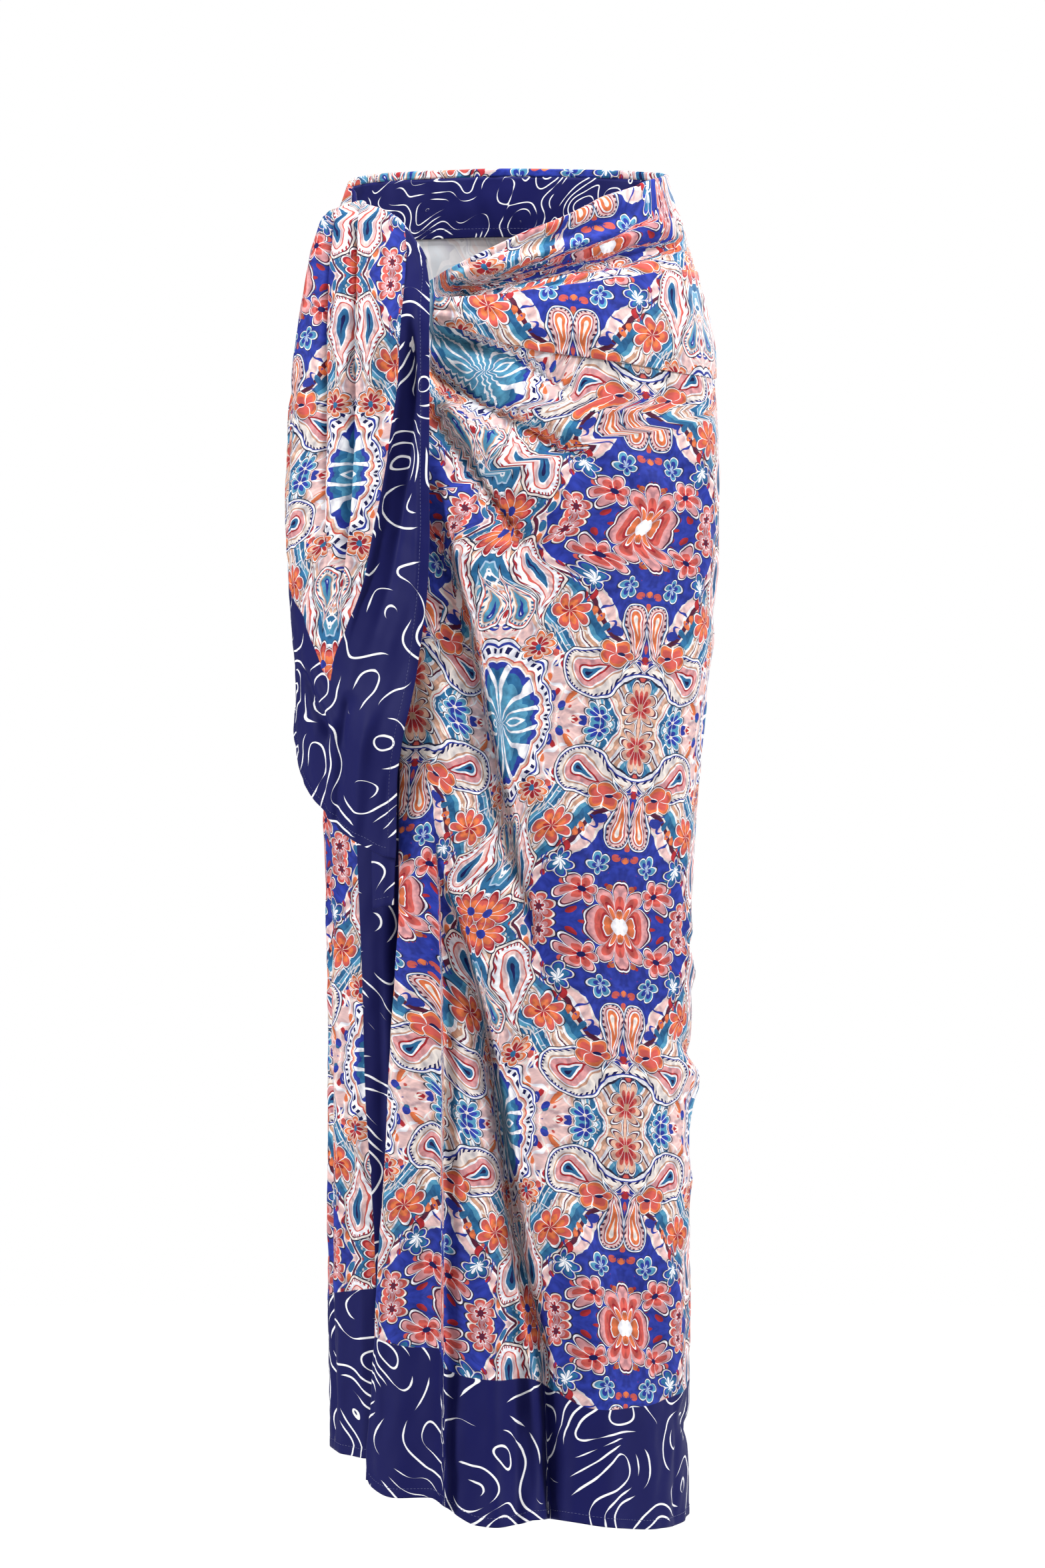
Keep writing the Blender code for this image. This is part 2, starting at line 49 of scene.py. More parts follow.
# %% [markdown]
# ## The camera
# The photograph is taken level with the middle of the cloth and from far away, so that
# its sides hardly converge. A long lens seven metres off gives that view. The height of
# the picture is set in the lens, because the frame is taller than it is wide.

# %% Camera
MM = 0.001
PICTURE_HEIGHT = 2352       # pixels
PIXEL = 0.514 * MM          # size of one pixel at the middle of the cloth
EYE = Vector((0.0123, -7.0, -0.4719))
SENSOR = 36.0


def add_object(name, data):
    """A new object in the scene."""
    thing = bpy.data.objects.new(name, data)
    bpy.context.scene.collection.objects.link(thing)
    return thing


camera_data = bpy.data.cameras.new("camera")
camera_data.sensor_fit = "VERTICAL"
camera_data.sensor_height = SENSOR
camera_data.lens = SENSOR * -EYE.y / (PICTURE_HEIGHT * PIXEL)
camera_data.clip_end = 60
camera = add_object("camera", camera_data)
camera.location = EYE
camera.rotation_euler = (np.pi / 2, 0, 0)
bpy.context.scene.camera = camera
print("lens:", round(camera_data.lens, 1), "mm")

# %% [markdown]
# ## A place on the worn cloth
# Every point of the cloth is given by its turn round the body in degrees, its height in
# millimetres and its lift over the worn form. Turn 0 is the front, 90 the side away from
# the knot, 180 the back and 270 the tied hip. The half sizes below are level sections of
# the figure, and they are joined by a curve that never overshoots its rows, because an
# overshoot would show as a bulge.

# %% The worn form
DEGREE_WIDTH = 2.4          # a usual width of one degree of turn
FIGURE = [
    # height, left, right, front, back
    (10, 121, 123, 83, 89),
    (0, 122, 124, 84, 90),
    (-50, 138, 139, 91, 98),
    (-100, 148, 150, 97, 106),
    (-150, 155, 160, 101, 113),
    (-200, 159, 163, 104, 117),
    (-250, 160, 164, 106, 118),
    (-320, 157, 162, 107, 116),
    (-400, 151, 155, 107, 112),
    (-500, 145, 146, 106, 108),
    (-600, 143, 142, 106, 106),
    (-800, 143, 141, 107, 105),
    (-1050, 140, 138, 110, 106),
]


def column(table, number):
    """One named column of a table as an array."""
    return np.array([row[number] for row in table], float)


def smooth(keys, values, at):
    """Values on a curve without overshoot through the rows of a table."""
    if keys[0] > keys[-1]:
        keys = keys[::-1]
        values = values[::-1]
    rise = np.diff(values) / np.diff(keys)
    slope = np.zeros(len(keys))
    slope[0] = rise[0]
    slope[-1] = rise[-1]
    both = rise[:-1] * rise[1:]
    safe = np.where(both > 0, rise[:-1] + rise[1:], 1.0)
    slope[1:-1] = np.where(both > 0, 2 * both / safe, 0.0)
    at = np.clip(at, keys[0], keys[-1])
    row = np.clip(np.searchsorted(keys, at) - 1, 0, len(keys) - 2)
    span = keys[row + 1] - keys[row]
    part = (at - keys[row]) / span
    start = values[row]
    step = values[row + 1] - start
    bend = part * (1 - part)
    lean = slope[row] * (1 - part) - slope[row + 1] * part
    return start + step * part * part * (3 - 2 * part) + bend * lean * span


def read(table, at):
    """The second column of a table, at any value of the first."""
    return smooth(column(table, 0), column(table, 1), at)


def ease(share):
    """A soft step from 0 to 1."""
    share = np.clip(share, 0, 1)
    return share * share * (3 - 2 * share)


def on_form(turn, height, lift):
    """Points in millimetres that lie a given lift outside the worn form."""
    turn, height, lift = np.broadcast_arrays(turn, height, lift)
    angle = np.radians(turn)
    left, right, front, back = [
        smooth(column(FIGURE, 0), column(FIGURE, number), height) for number in (1, 2, 3, 4)
    ]
    side = (left + right) / 2 + (right - left) / 2 * np.sin(angle)
    depth = (front + back) / 2 + (front - back) / 2 * np.cos(angle)
    away_x = depth * np.sin(angle)
    away_y = -side * np.cos(angle)
    length = np.hypot(away_x, away_y)
    x = side * np.sin(angle) + lift * away_x / length
    y = -depth * np.cos(angle) + lift * away_y / length
    return np.stack([x, y, height], axis=-1)


print("hips:", on_form(90, -250, 0)[0] - on_form(-90, -250, 0)[0], "mm across")

# %% [markdown]
# ## The edges of the wound cloth
# The top edge dips in front towards the knot, and the hem is lowest in front and rounded
# up at the free end. These lines, and where the border ends above the hem, are short
# tables of places on the form. A curve through a few rows is easier to correct than a
# long list of points.

# %% Edges of the wound cloth
WALL = 2.0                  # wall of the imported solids
LAYER_GAP = 0.6
TOP_EDGE = [
    # turn, height
    (-60, -160), (-40, -118), (-32, -104), (-24, -89), (-15, -76), (-1, -59),
    (6, -51), (16, -42), (26, -32), (35, -23), (50, -15), (61, -9), (90, -2),
    (120, 3), (150, 7), (180, 8.6), (210, 6), (240, 1), (262, -5), (285, -16),
    (300, -38), (315, -75), (322, -95), (352, -150),
]
HEM_EDGE = [
    # turn, height
    (-56, -978), (-53, -985), (-47, -1007), (-35, -1015), (-25, -1014), (-21, -1020),
    (-15, -1029), (-9, -1035), (-3, -1036), (4, -1034), (9, -1031), (18, -1032),
    (32, -1037), (53, -1041), (68, -1041), (83, -1038), (110, -1030), (140, -1018),
    (180, -1003), (220, -992), (250, -985), (270, -982), (306, -988), (352, -984),
]
FRONT_EDGE = [
    # height, turn
    (-100, -33), (-150, -31), (-250, -29.6), (-400, -31.5), (-530, -33), (-570, -33),
    (-610, -33.8), (-690, -36.2), (-770, -38.3), (-880, -42), (-940, -45), (-985, -48.6),
]
FAN_LINE = [
    # height, turn
    (-60, -20), (-110, -21), (-255, -22), (-340, -20), (-459, -15), (-560, -8), (-666, 0),
    (-763, 10.8), (-864, 22), (-991, 31), (-1041, 33),
]
BORDER = 115.0              # width of the border on the hem and the ends
BORDER_TOP = [
    # turn, height at which the border above the hem ends
    (-53, -885), (-45.5, -887), (-42.9, -893), (-35.6, -898), (-28.4, -900), (-22.6, -900),
    (-20, -916), (-15, -921), (-7.7, -924), (-0.6, -925), (6.3, -924), (12.6, -928),
    (17.2, -935), (24.6, -945), (31.7, -948), (47.7, -947), (57.7, -944), (75.5, -939),
    (110, -922), (140, -906), (180, -891), (220, -880), (250, -873), (270, -867),
    (285, -863), (306, -858), (352, -851),
]
FRONT_END = 100.0           # turns at which one stretch passes into the next
BACK_END = 230.0
print("hem:", -min(column(HEM_EDGE, 1)), "mm below the waist at its lowest")

# %% [markdown]
# ## Folds
# A fold is a soft ridge or trough that runs down the cloth or across it. Each row of the
# tables has its own path, rise and half widths, so no two folds are alike, as in real
# drape. Two more columns make sharp folds real: lean shifts the cloth sideways over its
# neighbour, and hidden is the width of cloth that is tucked away in the fold, by which
# the print jumps there. A cloth simulation could make such folds as well, but not at the
# places where the photograph has them.

# %% The main folds
FOLDS = [
    # name, way, rise, before, after, lean, hidden, fade in, fade out, path
    ("tube ridge", "down", 8, 8, 17, 0, 0, 0.25, 0.3,
     [(-17, -215), (-12.8, -276), (-10, -322), (-4.7, -373), (-0.5, -413), (8, -499),
      (15, -560)]),
    ("main valley", "down", -9, 13, 13, 0, 0, 0.15, 0.35,
     [(-23, -255), (-16.4, -317), (-11.4, -362), (-4.5, -449), (3.1, -540), (16.9, -644),
      (25.5, -684), (44, -756)]),
    ("long ridge", "down", 7, 13, 11, 0, 0, 0.25, 0,
     [(-23.5, -340), (-17.8, -459), (-10.4, -560), (-1, -666), (10.8, -763), (25, -864),
      (34, -991), (34, -1045)]),
    ("deep recess", "down", -12, 9, 9, 0, 0, 0.3, 0,
     [(-26, -500), (-18.6, -545), (-10, -626), (-3.7, -707), (1.7, -783), (5, -828),
      (13.7, -910), (16, -991), (16, -1045)]),
    ("middle ridge", "down", 6, 11, 9, 0, 0, 0.3, 0,
     [(-17, -600), (-14.7, -666), (-10, -763), (-5.2, -864), (-3.1, -930), (-3, -1045)]),
    ("hem crease", "down", -5, 7, 7, 0, 0, 0.5, 0, [(3.4, -890), (3.4, -1045)]),
    ("lobe crest", "down", 7, 22, 14, 0, 0, 0.25, 0,
     [(-25, -470), (-29, -585), (-32, -661), (-34, -813), (-36, -1045)]),
    ("lobe edge", "down", -6, 7, 9, 0, 0, 0.3, 0,
     [(-18.5, -520), (-18.5, -687), (-18.2, -788), (-18.6, -1045)]),
    ("right crease", "down", -5, 10, 13, 0, 0, 0.3, 0.2,
     [(24, -750), (31.5, -813), (42, -855), (56, -895), (62, -960)]),
    ("upper diagonal", "across", -5, 8, 8, 0, 0, 0.1, 0.4,
     [(-24, -158), (-16.6, -166), (-7.4, -181), (3.3, -198), (12.6, -213), (23, -228),
      (32, -247)]),
    ("lower diagonal", "down", -6, 10, 12, 0, 0, 0.15, 0.4,
     [(-22, -185), (-15.3, -208), (-10.6, -231), (-2.5, -264), (5.2, -291), (16.3, -351)]),
    ("bridge ridge", "across", 4, 9, 11, 0, 0, 0.2, 0.4,
     [(-22, -176), (-12, -192), (-2, -218), (9, -246), (20, -280)]),
    ("first gather", "across", -5, 6, 6, 0, 0, 0.1, 0.25,
     [(-22, -96), (-8.2, -90), (5.4, -83), (15.1, -78), (32.6, -71), (52, -60), (70, -54)]),
    ("second gather", "across", 4.5, 6, 6, 0, 0, 0.1, 0.25,
     [(-20, -90), (-8, -80), (5.4, -73), (20, -64), (40, -52), (60, -43), (76, -39)]),
    ("third gather", "across", -4, 6, 6, 0, 0, 0.2, 0.3,
     [(-2, -71), (8, -63), (22, -52), (38, -40), (58, -30)]),
    ("top roll", "across", 3, 7, 7, 0, 0, 0.1, 0.4,
     [(-22, -88), (-1, -62), (16, -46), (35, -28), (61, -14)]),
    ("side ripple", "across", 3, 15, 12, 0, 0, 0.4, 0.4,
     [(58, -560), (78, -585), (98, -612), (118, -640)]),
    ("lower side ripple", "across", 4, 14, 12, 0, 0, 0.4, 0.4,
     [(50, -640), (72, -680), (92, -708), (120, -745)]),
    ("hip drape", "across", 4, 20, 16, 0, 0, 0.4, 0.4,
     [(70, -300), (88, -340), (110, -375), (150, -400)]),
    ("right back fold", "down", 7, 16, 18, 0, 0, 0.35, 0,
     [(122, -330), (126, -600), (131, -850), (133, -1045)]),
    ("right back hollow", "down", -6, 14, 14, 0, 0, 0.35, 0,
     [(141, -420), (147, -700), (151, -1045)]),
    ("middle back fold", "down", 7, 18, 15, 0, 0, 0.4, 0,
     [(160, -380), (168, -700), (171, -1045)]),
    ("middle back hollow", "down", -6, 12, 14, 0, 0, 0.35, 0,
     [(184, -460), (188, -700), (190, -1045)]),
    ("left back fold", "down", 6, 15, 15, 0, 0, 0.4, 0,
     [(205, -400), (206, -700), (206, -1045)]),
    ("seat drag", "across", 3.5, 14, 14, 0, 0, 0.4, 0.4,
     [(118, -150), (150, -180), (180, -190), (215, -165)]),
]
UNDER_FOLDS = [
    # name, way, rise, before, after, lean, hidden, fade in, fade out, path
    ("side fold", "down", 5, 12, 12, 0, 0, 0.4, 0, [(247, -420), (250, -700), (252, -1045)]),
    ("side hollow", "down", -4, 10, 10, 0, 0, 0.4, 0,
     [(265, -480), (267, -800), (268, -1045)]),
    ("strip crest", "down", 3, 12, 8, 0, 0, 0.3, 0, [(287, -430), (289, -700), (291, -1045)]),
    ("inner hollow", "down", -5, 10, 14, 0, 0, 0.3, 0,
     [(318, -450), (320, -700), (320, -1045)]),
]
UNDER_EASE = [
    # turn, distance inward
    (230, 0), (250, 2), (270, 4), (285, 7), (300, 11), (315, 20), (330, 31), (352, 39),
]
UNDER_SHARE = [
    # height, share of that distance
    (10, 0.35), (-100, 0.55), (-250, 0.8), (-450, 1.0), (-1050, 1.0),
]
UNDER_LIMIT = [
    # height, turn of the inner end
    (-90, 322), (-160, 334), (-300, 348), (-1050, 350),
]


def folds_at(folds, turn, height):
    """The sums of lift, shift in turn and in height, and cloth hidden across and down."""
    shape = np.broadcast(turn, height).shape
    lift, shift_turn, shift_height, hidden_s, hidden_t = np.zeros((5,) + shape)
    for name, way, rise, before, after, lean, hidden, fade_in, fade_out, path in folds:
        turns = column(path, 0)
        heights = column(path, 1)
        down = way == "down"
        along = height if down else turn
        keys = heights if down else turns
        places = turns if down else heights
        centre = smooth(keys, places, along)
        slant = smooth(keys, places, along + 1) - smooth(keys, places, along - 1)
        if down:
            away = (turn - centre) * DEGREE_WIDTH
            slant = slant * DEGREE_WIDTH / 2
        else:
            away = height - centre
            slant = slant / DEGREE_WIDTH / 2
        away = away / np.sqrt(1 + slant * slant)
        share = (along - keys[0]) / (keys[-1] - keys[0])
        weight = np.where((share < 0) | (share > 1), 0.0, 1.0)
        if fade_in:
            weight = weight * ease(share / fade_in)
        if fade_out:
            weight = weight * ease((1 - share) / fade_out)
        # A trough is pointed like a crease, and a ridge is round
        reach = np.abs(away / np.where(away < 0, before, after))
        profile = weight * np.exp(-reach ** (1.5 if rise < 0 else 2.0))
        # The hidden cloth lies on the steep side of a ridge, and in the middle of a trough
        steep = 0.7 * after if after < before else -0.7 * before
        tucked = hidden * weight * ease((away - (steep if rise > 0 else 0)) / 3 + 0.5)
        lift += rise * profile
        if down:
            shift_turn += lean * profile / DEGREE_WIDTH
            hidden_s += tucked
        else:
            shift_height += lean * profile
            hidden_t += tucked
    return lift, shift_turn, shift_height, hidden_s, hidden_t


print(len(FOLDS) + len(UNDER_FOLDS), "main folds")

# %% [markdown]
# ## Smaller creases
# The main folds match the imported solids. On top of them lie the narrow creases that give
# cloth its scale: the stacked rolls of the gathered waist, the short pulls beside the
# knot, and slack ripples where the cloth hangs free.

# %% The smaller creases of the outer cloth
CREASES = [
    # name, way, rise, before, after, lean, hidden, fade in, fade out, path
    ("upper roll", "across", -5.4, 7, 2.2, -1.8, 38, 0.05, 0.35,
     [(-20, -92), (-1, -81), (10, -72), (20, -65), (31, -58), (47, -44), (66, -36)]),
    ("second roll", "across", -6.6, 6, 2.0, -2.4, 52, 0.02, 0.3,
     [(-22, -97), (-8.2, -87), (5.4, -80), (15.1, -75), (32.6, -69), (45.7, -59),
      (61.5, -56), (84, -52)]),
    ("third roll", "across", -5.0, 4.5, 1.8, -1.6, 34, 0.02, 0.25,
     [(-22, -99), (-6.9, -94), (5.4, -87), (21.8, -79), (32.2, -77), (62.8, -64),
      (80, -62)]),
    ("fourth roll", "across", -3.4, 4.5, 1.8, -1.2, 8, 0.02, 0.4,
     [(-21, -100), (0.4, -95), (20, -88), (31.7, -85), (48, -79)]),
    ("top tuck", "across", -2.8, 4, 3, -1.0, 6, 0.1, 0.5,
     [(-20, -86), (-8, -72), (4, -60), (14, -52), (28, -42), (44, -32)]),
    ("pocket", "across", -8, 7, 5, 0, 10, 0.02, 0.5,
     [(-23, -129), (-16, -132), (-8, -138), (2, -146), (12, -152)]),
    ("under band pull", "across", -6.5, 6, 2.2, -2.0, 30, 0.1, 0.4,
     [(-14, -127), (-9.5, -131), (0, -140), (9.2, -156), (15, -168), (24, -190)]),
    ("upper diagonal edge", "across", -8.0, 8, 2.6, -2.6, 26, 0.03, 0.4,
     [(-23, -152), (-16.6, -160), (-7.4, -175), (3.3, -193), (12.6, -208), (23, -223),
      (30.7, -243)]),
    ("short pull", "across", -4.8, 5, 2.8, -1.4, 12, 0.2, 0.5,
     [(-22, -168), (-14, -180), (-6, -196), (1, -212), (9, -232)]),
    ("lower diagonal edge", "down", -7.5, 2.8, 8, 1.8, 22, 0.05, 0.4,
     [(-21.5, -180), (-18.6, -199), (-13, -220), (-6.5, -248), (1, -277), (10, -318)]),
    ("valley depth", "down", -4.0, 9, 12, 0, 0, 0.1, 0.4,
     [(-23, -262), (-16, -322), (-10.5, -371), (-4, -452), (3.6, -543), (16, -640)]),
    ("tube crest", "down", 4.5, 5, 12, 0, 0, 0.1, 0.35,
     [(-19, -215), (-14.5, -276), (-11.6, -322), (-6.5, -373), (-2.2, -413), (6, -499),
      (13, -560)]),
    ("valley floor", "down", -8.0, 4, 8, 0, 34, 0.1, 0.5,
     [(-22, -262), (-15, -322), (-9.5, -371), (-3, -452), (4.6, -543), (17, -640)]),
    ("lobe lip", "down", 6.5, 20, 3.2, 4.0, 46, 0.25, 0,
     [(-23.5, -470), (-22.2, -560), (-21.9, -700), (-21.8, -1045)]),
    ("recess floor", "down", -6.0, 4.5, 6, 0, 30, 0.25, 0,
     [(-24, -520), (-17.4, -560), (-9.6, -632), (-3.4, -712), (2, -786), (6, -832),
      (13.2, -905), (15.4, -991), (15.4, -1045)]),
    ("recess depth", "down", -5.0, 8, 10, 0, 0, 0.3, 0,
     [(-22, -540), (-16.8, -580), (-8.8, -650), (-2.6, -730), (2.6, -800), (7, -860),
      (13.4, -930), (15.8, -1045)]),
    ("broad recess", "down", -17.0, 24, 22, 0, 0, 0.3, 0.12,
     [(-12, -590), (-7, -660), (-3.5, -710), (-2, -763), (1.5, -864), (7, -960), (9, -1040)]),
    ("recess side", "down", 3.4, 7, 3.6, 1.0, 6, 0.3, 0.1,
     [(-12, -640), (-7.6, -700), (-3.5, -760), (0.5, -830), (6.5, -905), (9.2, -980)]),
    ("lap crease", "down", -3.4, 4, 6, 0, 0, 0.4, 0.3,
     [(-27.5, -560), (-26.5, -680), (-27, -800), (-28, -930)]),
    ("lap ridge", "down", 2.6, 6, 5, 0, 0, 0.4, 0.2,
     [(-38, -760), (-40, -850), (-42, -930), (-43.5, -1005)]),
    ("thigh pull", "down", -3.4, 6, 9, 0, 0, 0.4, 0.4,
     [(14, -330), (20, -420), (28, -520), (38, -610)]),
    ("thigh slack", "down", 2.6, 9, 8, 0, 0, 0.4, 0.4,
     [(26, -300), (32, -400), (40, -500), (50, -580)]),
    ("hip pull", "across", -3.2, 8, 4, 0, 0, 0.4, 0.4,
     [(16, -186), (34, -205), (55, -232), (78, -262)]),
    ("hip slack", "across", 2.2, 9, 7, 0, 0, 0.4, 0.4,
     [(22, -214), (42, -240), (62, -272), (88, -300)]),
    ("knee drag", "across", -4.4, 9, 5, 0, 0, 0.4, 0.4,
     [(30, -610), (48, -642), (66, -668), (90, -690)]),
    ("knee slack", "across", 3.2, 10, 8, 0, 0, 0.4, 0.4,
     [(44, -716), (62, -744), (80, -770), (100, -790)]),
    ("shin drag", "across", -4.0, 9, 6, 0, 0, 0.4, 0.4,
     [(40, -780), (58, -806), (76, -830), (96, -846)]),
    ("hip notch", "across", -4.4, 14, 14, 0, 0, 0.4, 0.4,
     [(60, -314), (78, -330), (94, -342), (112, -346)]),
    ("side notch one", "across", -4.6, 8, 7, 0, 0, 0.3, 0.3,
     [(62, -570), (78, -588), (92, -600), (108, -606)]),
    ("upper side swell", "across", 2.4, 8, 8, 0, 0, 0.3, 0.3,
     [(64, -594), (80, -610), (94, -619), (110, -624)]),
    ("side notch two", "across", -3.8, 9, 7, 0, 0, 0.3, 0.3,
     [(56, -650), (74, -668), (90, -681), (108, -686)]),
    ("side swell", "across", 4.4, 9, 10, 0, 0, 0.3, 0.3,
     [(64, -682), (80, -694), (94, -702), (110, -707)]),
    ("low side notch", "across", -6.0, 12, 9, 0, 0, 0.4, 0.4,
     [(66, -950), (80, -960), (94, -967), (108, -969)]),
    ("hem flare", "down", 2.2, 10, 10, 0, 0, 0.6, 0, [(50, -880), (52, -960), (53, -1045)]),
    ("hem dip", "down", -2.2, 8, 8, 0, 0, 0.6, 0, [(68, -900), (70, -970), (71, -1045)]),
    ("side flare", "down", 2.6, 12, 12, 0, 0, 0.6, 0, [(92, -800), (94, -920), (95, -1045)]),
    ("side dip", "down", -2.2, 9, 9, 0, 0, 0.6, 0, [(108, -760), (110, -900), (111, -1045)]),
    ("seat crease", "across", -3.8, 8, 4, -1, 0, 0.4, 0.4,
     [(112, -232), (140, -258), (170, -266), (200, -250), (224, -222)]),
    ("seat slack", "across", 2.0, 9, 8, 0, 0, 0.4, 0.4,
     [(126, -292), (152, -312), (184, -316), (214, -292)]),
    ("waist drag right", "across", -1.6, 5, 4, 0, 0, 0.4, 0.5,
     [(96, -70), (116, -88), (136, -112), (158, -124)]),
    ("waist drag left", "across", -1.8, 5, 4, 0, 0, 0.5, 0.2,
     [(182, -128), (204, -112), (222, -92), (246, -76)]),
    ("back crease right", "down", -4.0, 5, 6, 0, 0, 0.4, 0.1,
     [(132, -480), (138, -660), (141, -860), (142, -1040)]),
    ("back ridge right", "down", 2.0, 7, 6, 0, 0, 0.4, 0,
     [(150, -560), (156, -760), (159, -1045)]),
    ("back crease middle", "down", -4.2, 6, 5, 0, 0, 0.4, 0,
     [(172, -520), (178, -760), (180, -1045)]),
    ("back ridge left", "down", 2.2, 7, 8, 0, 0, 0.4, 0,
     [(194, -560), (197, -800), (198, -1045)]),
    ("back crease left", "down", -4.0, 6, 6, 0, 0, 0.4, 0,
     [(214, -480), (217, -760), (219, -1045)]),
    ("left hip drag", "across", -3.4, 8, 6, 0, 0, 0.4, 0.2,
     [(186, -420), (206, -396), (226, -366), (250, -336)]),
]
print(len(CREASES), "smaller creases on the outer cloth")

# %% [markdown]
# ## Slack, and the whole surface
# The inner end has creases of its own, and slack cloth also moves in long soft waves that
# have no single crest. With them the lift of every point of the winding is known. A noise
# texture could stand in for the waves, but their sum of sines gives the same surface each
# time and can be read at any place.

# %% The surface of the winding
UNDER_CREASES = [
    # name, way, rise, before, after, lean, hidden, fade in, fade out, path
    ("strip crease", "down", -3.0, 4, 6, 0, 0, 0.4, 0.1,
     [(277, -470), (279, -700), (281, -1000)]),
    ("strip ridge", "down", 1.6, 5, 5, 0, 0, 0.4, 0, [(299, -520), (302, -760), (304, -1045)]),
    ("inner drop", "down", -13.0, 5, 18, 0, 0, 0.3, 0,
     [(317, -440), (317.5, -620), (319.5, -760), (322, -860), (323, -1045)]),
    ("inner crease", "down", -4.0, 5, 5, 0, 0, 0.4, 0,
     [(310, -520), (311, -760), (312, -1045)]),
    ("side drag", "across", -2.0, 7, 6, 0, 0, 0.3, 0.4,
     [(232, -300), (250, -330), (268, -372), (288, -420)]),
    ("side flare", "down", 2.2, 8, 8, 0, 0, 0.5, 0, [(236, -760), (237, -900), (238, -1045)]),
]
WAVES = [
    # rise, waves for each turn of 100 degrees, waves for each 100 mm of height, phase
    (0.42, 3.1, 0.55, 0.4), (0.34, -4.7, 0.9, 2.1), (0.26, 6.4, 1.7, 4.0), (0.2, 9.3, -1.2, 1.2),
    (0.16, -12.1, 2.6, 5.3), (0.13, 4.2, 3.9, 3.3),
]


def wavy(turn, height):
    """The sum of the soft waves, in millimetres of lift."""
    total = np.zeros(np.broadcast(turn, height).shape)
    for rise, by_turn, by_height, phase in WAVES:
        total += rise * np.sin(2 * np.pi * (turn * by_turn + height * by_height) / 100 + phase)
    return total


def wound(turn, height):
    """Lift, moved turn and height, and hidden cloth of the whole winding."""
    turn, height = np.broadcast_arrays(turn, height)
    outer = folds_at(FOLDS + CREASES, turn, height)
    inner = folds_at(UNDER_FOLDS + UNDER_CREASES, turn, height)
    sink = read(UNDER_EASE, turn) * read(UNDER_SHARE, height)
    under = turn > BACK_END
    lift = np.where(under, inner[0] - sink, outer[0]) + wavy(turn, height)
    shift_turn, shift_height, hidden_s, hidden_t = [
        np.where(under, inner[number], outer[number]) for number in (1, 2, 3, 4)
    ]
    return lift, turn + shift_turn, height + shift_height, hidden_s, hidden_t


def heights_at(turn, share):
    """Height at a share of the way from the hem to the top edge."""
    low = read(HEM_EDGE, turn)
    return low + (read(TOP_EDGE, turn) - low) * share


print(len(UNDER_CREASES), "smaller creases on the inner end,", len(WAVES), "waves")

# %% [markdown]
# ## From a grid of points to a thin shell
# Each stretch of cloth is a grid of points with its right side outward. The grid becomes
# a mesh with two maps: one holds the place on the flat cloth in metres, which the print
# follows, and one the distance from the finished edge, which sets the border. A Solidify
# modifier gives it the thickness of cloth and puts a paler material on the wrong side. A
# mesh without thickness would look alike on both sides.

# %% Shell builder
CLOTH_THICKNESS = 0.7 * MM


def level_distance(points):
    """Distance along each row of a grid, measured level, in millimetres."""
    step = np.diff(points[..., :2], axis=1)
    length = np.hypot(step[..., 0], step[..., 1])
    start = np.zeros((points.shape[0], 1))
    return np.concatenate([start, np.cumsum(length, axis=1)], axis=1)


def add_map(mesh, name, first, second, corners):
    """A map of two values in millimetres for each point, kept in metres."""
    layer = mesh.uv_layers.new(name=name)
    pairs = np.stack(np.broadcast_arrays(first, second), axis=-1).reshape(-1, 2) * MM
    layer.uv.foreach_set("vector", pairs[corners].astype(np.float32).ravel())


def grid_mesh(name, points, across, up, inset):
    """A mesh of quads over a grid of points, with its two maps."""
    rows, columns = points.shape[:2]
    grid = np.arange(rows * columns).reshape(rows, columns)
    quads = np.stack([grid[:-1, :-1], grid[:-1, 1:], grid[1:, 1:], grid[1:, :-1]], axis=-1)
    quads = quads.reshape(-1, 4)
    mesh = bpy.data.meshes.new(name)
    mesh.from_pydata((points.reshape(-1, 3) * MM).tolist(), [], quads.tolist())
    add_map(mesh, "cloth", across, up, quads.ravel())
    add_map(mesh, "edge", inset, np.zeros(inset.shape), quads.ravel())
    mesh.shade_smooth()
    return mesh


def shell(name, points, across, up, inset, nodes):
    """A stretch of cloth in place of CAD nodes."""
    mesh = grid_mesh(name, points, across, up, inset)
    piece = add_object(name, mesh)
    thick = piece.modifiers.new("cloth thickness", "SOLIDIFY")
    thick.thickness = CLOTH_THICKNESS
    thick.offset = -1
    thick.material_offset = 1
    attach(piece, "root")
    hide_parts(*nodes)
    print(name, len(mesh.polygons) * 4, "triangles")
    return piece


def shares(start, *stops):
    """Shares from a start, spaced evenly between stops of (share, count)."""
    out = [start]
    for share, count in stops:
        out += list(np.linspace(out[-1], share, count + 1)[1:])
    return np.array(out)


def settle(table, guess, level):
    """The turn at which a table of (height, turn) meets a share of the cloth's height."""
    turn = np.full(level.shape, float(guess))
    for _ in range(6):
        turn = read(table, heights_at(turn, level))
    return turn


# %% [markdown]
# ## The rim
# The top border is turned down inside, so the cloth's top edge is a fold and not a cut.
# The last rows of every stretch therefore go over a half circle and a little way down
# inside. A sharp cut there would give the waist away as a sheet of paper.

# %% Rows of the wound cloth and its rim
RIM_RADIUS = 1.4
RIM_RETURN = 5.0            # print that still shows inside, over the border
ROWS = shares(0.0, (0.012, 8), (0.86, 166), (1.0, 78))[:, None]
RIM_ANGLES = np.radians([30, 60, 90, 120, 150, 180])
RIM_DROPS = [1.5, 3.2, RIM_RETURN]
RIM_SHARE = 0.97            # share of the height from which the rows make room for the rim
HEM_WIDTH = 7.5
HEM_PROUD = 0.35
STITCH_LINE = 7.0           # distance of the stitches from a finished edge
STITCH_DIP = 0.3


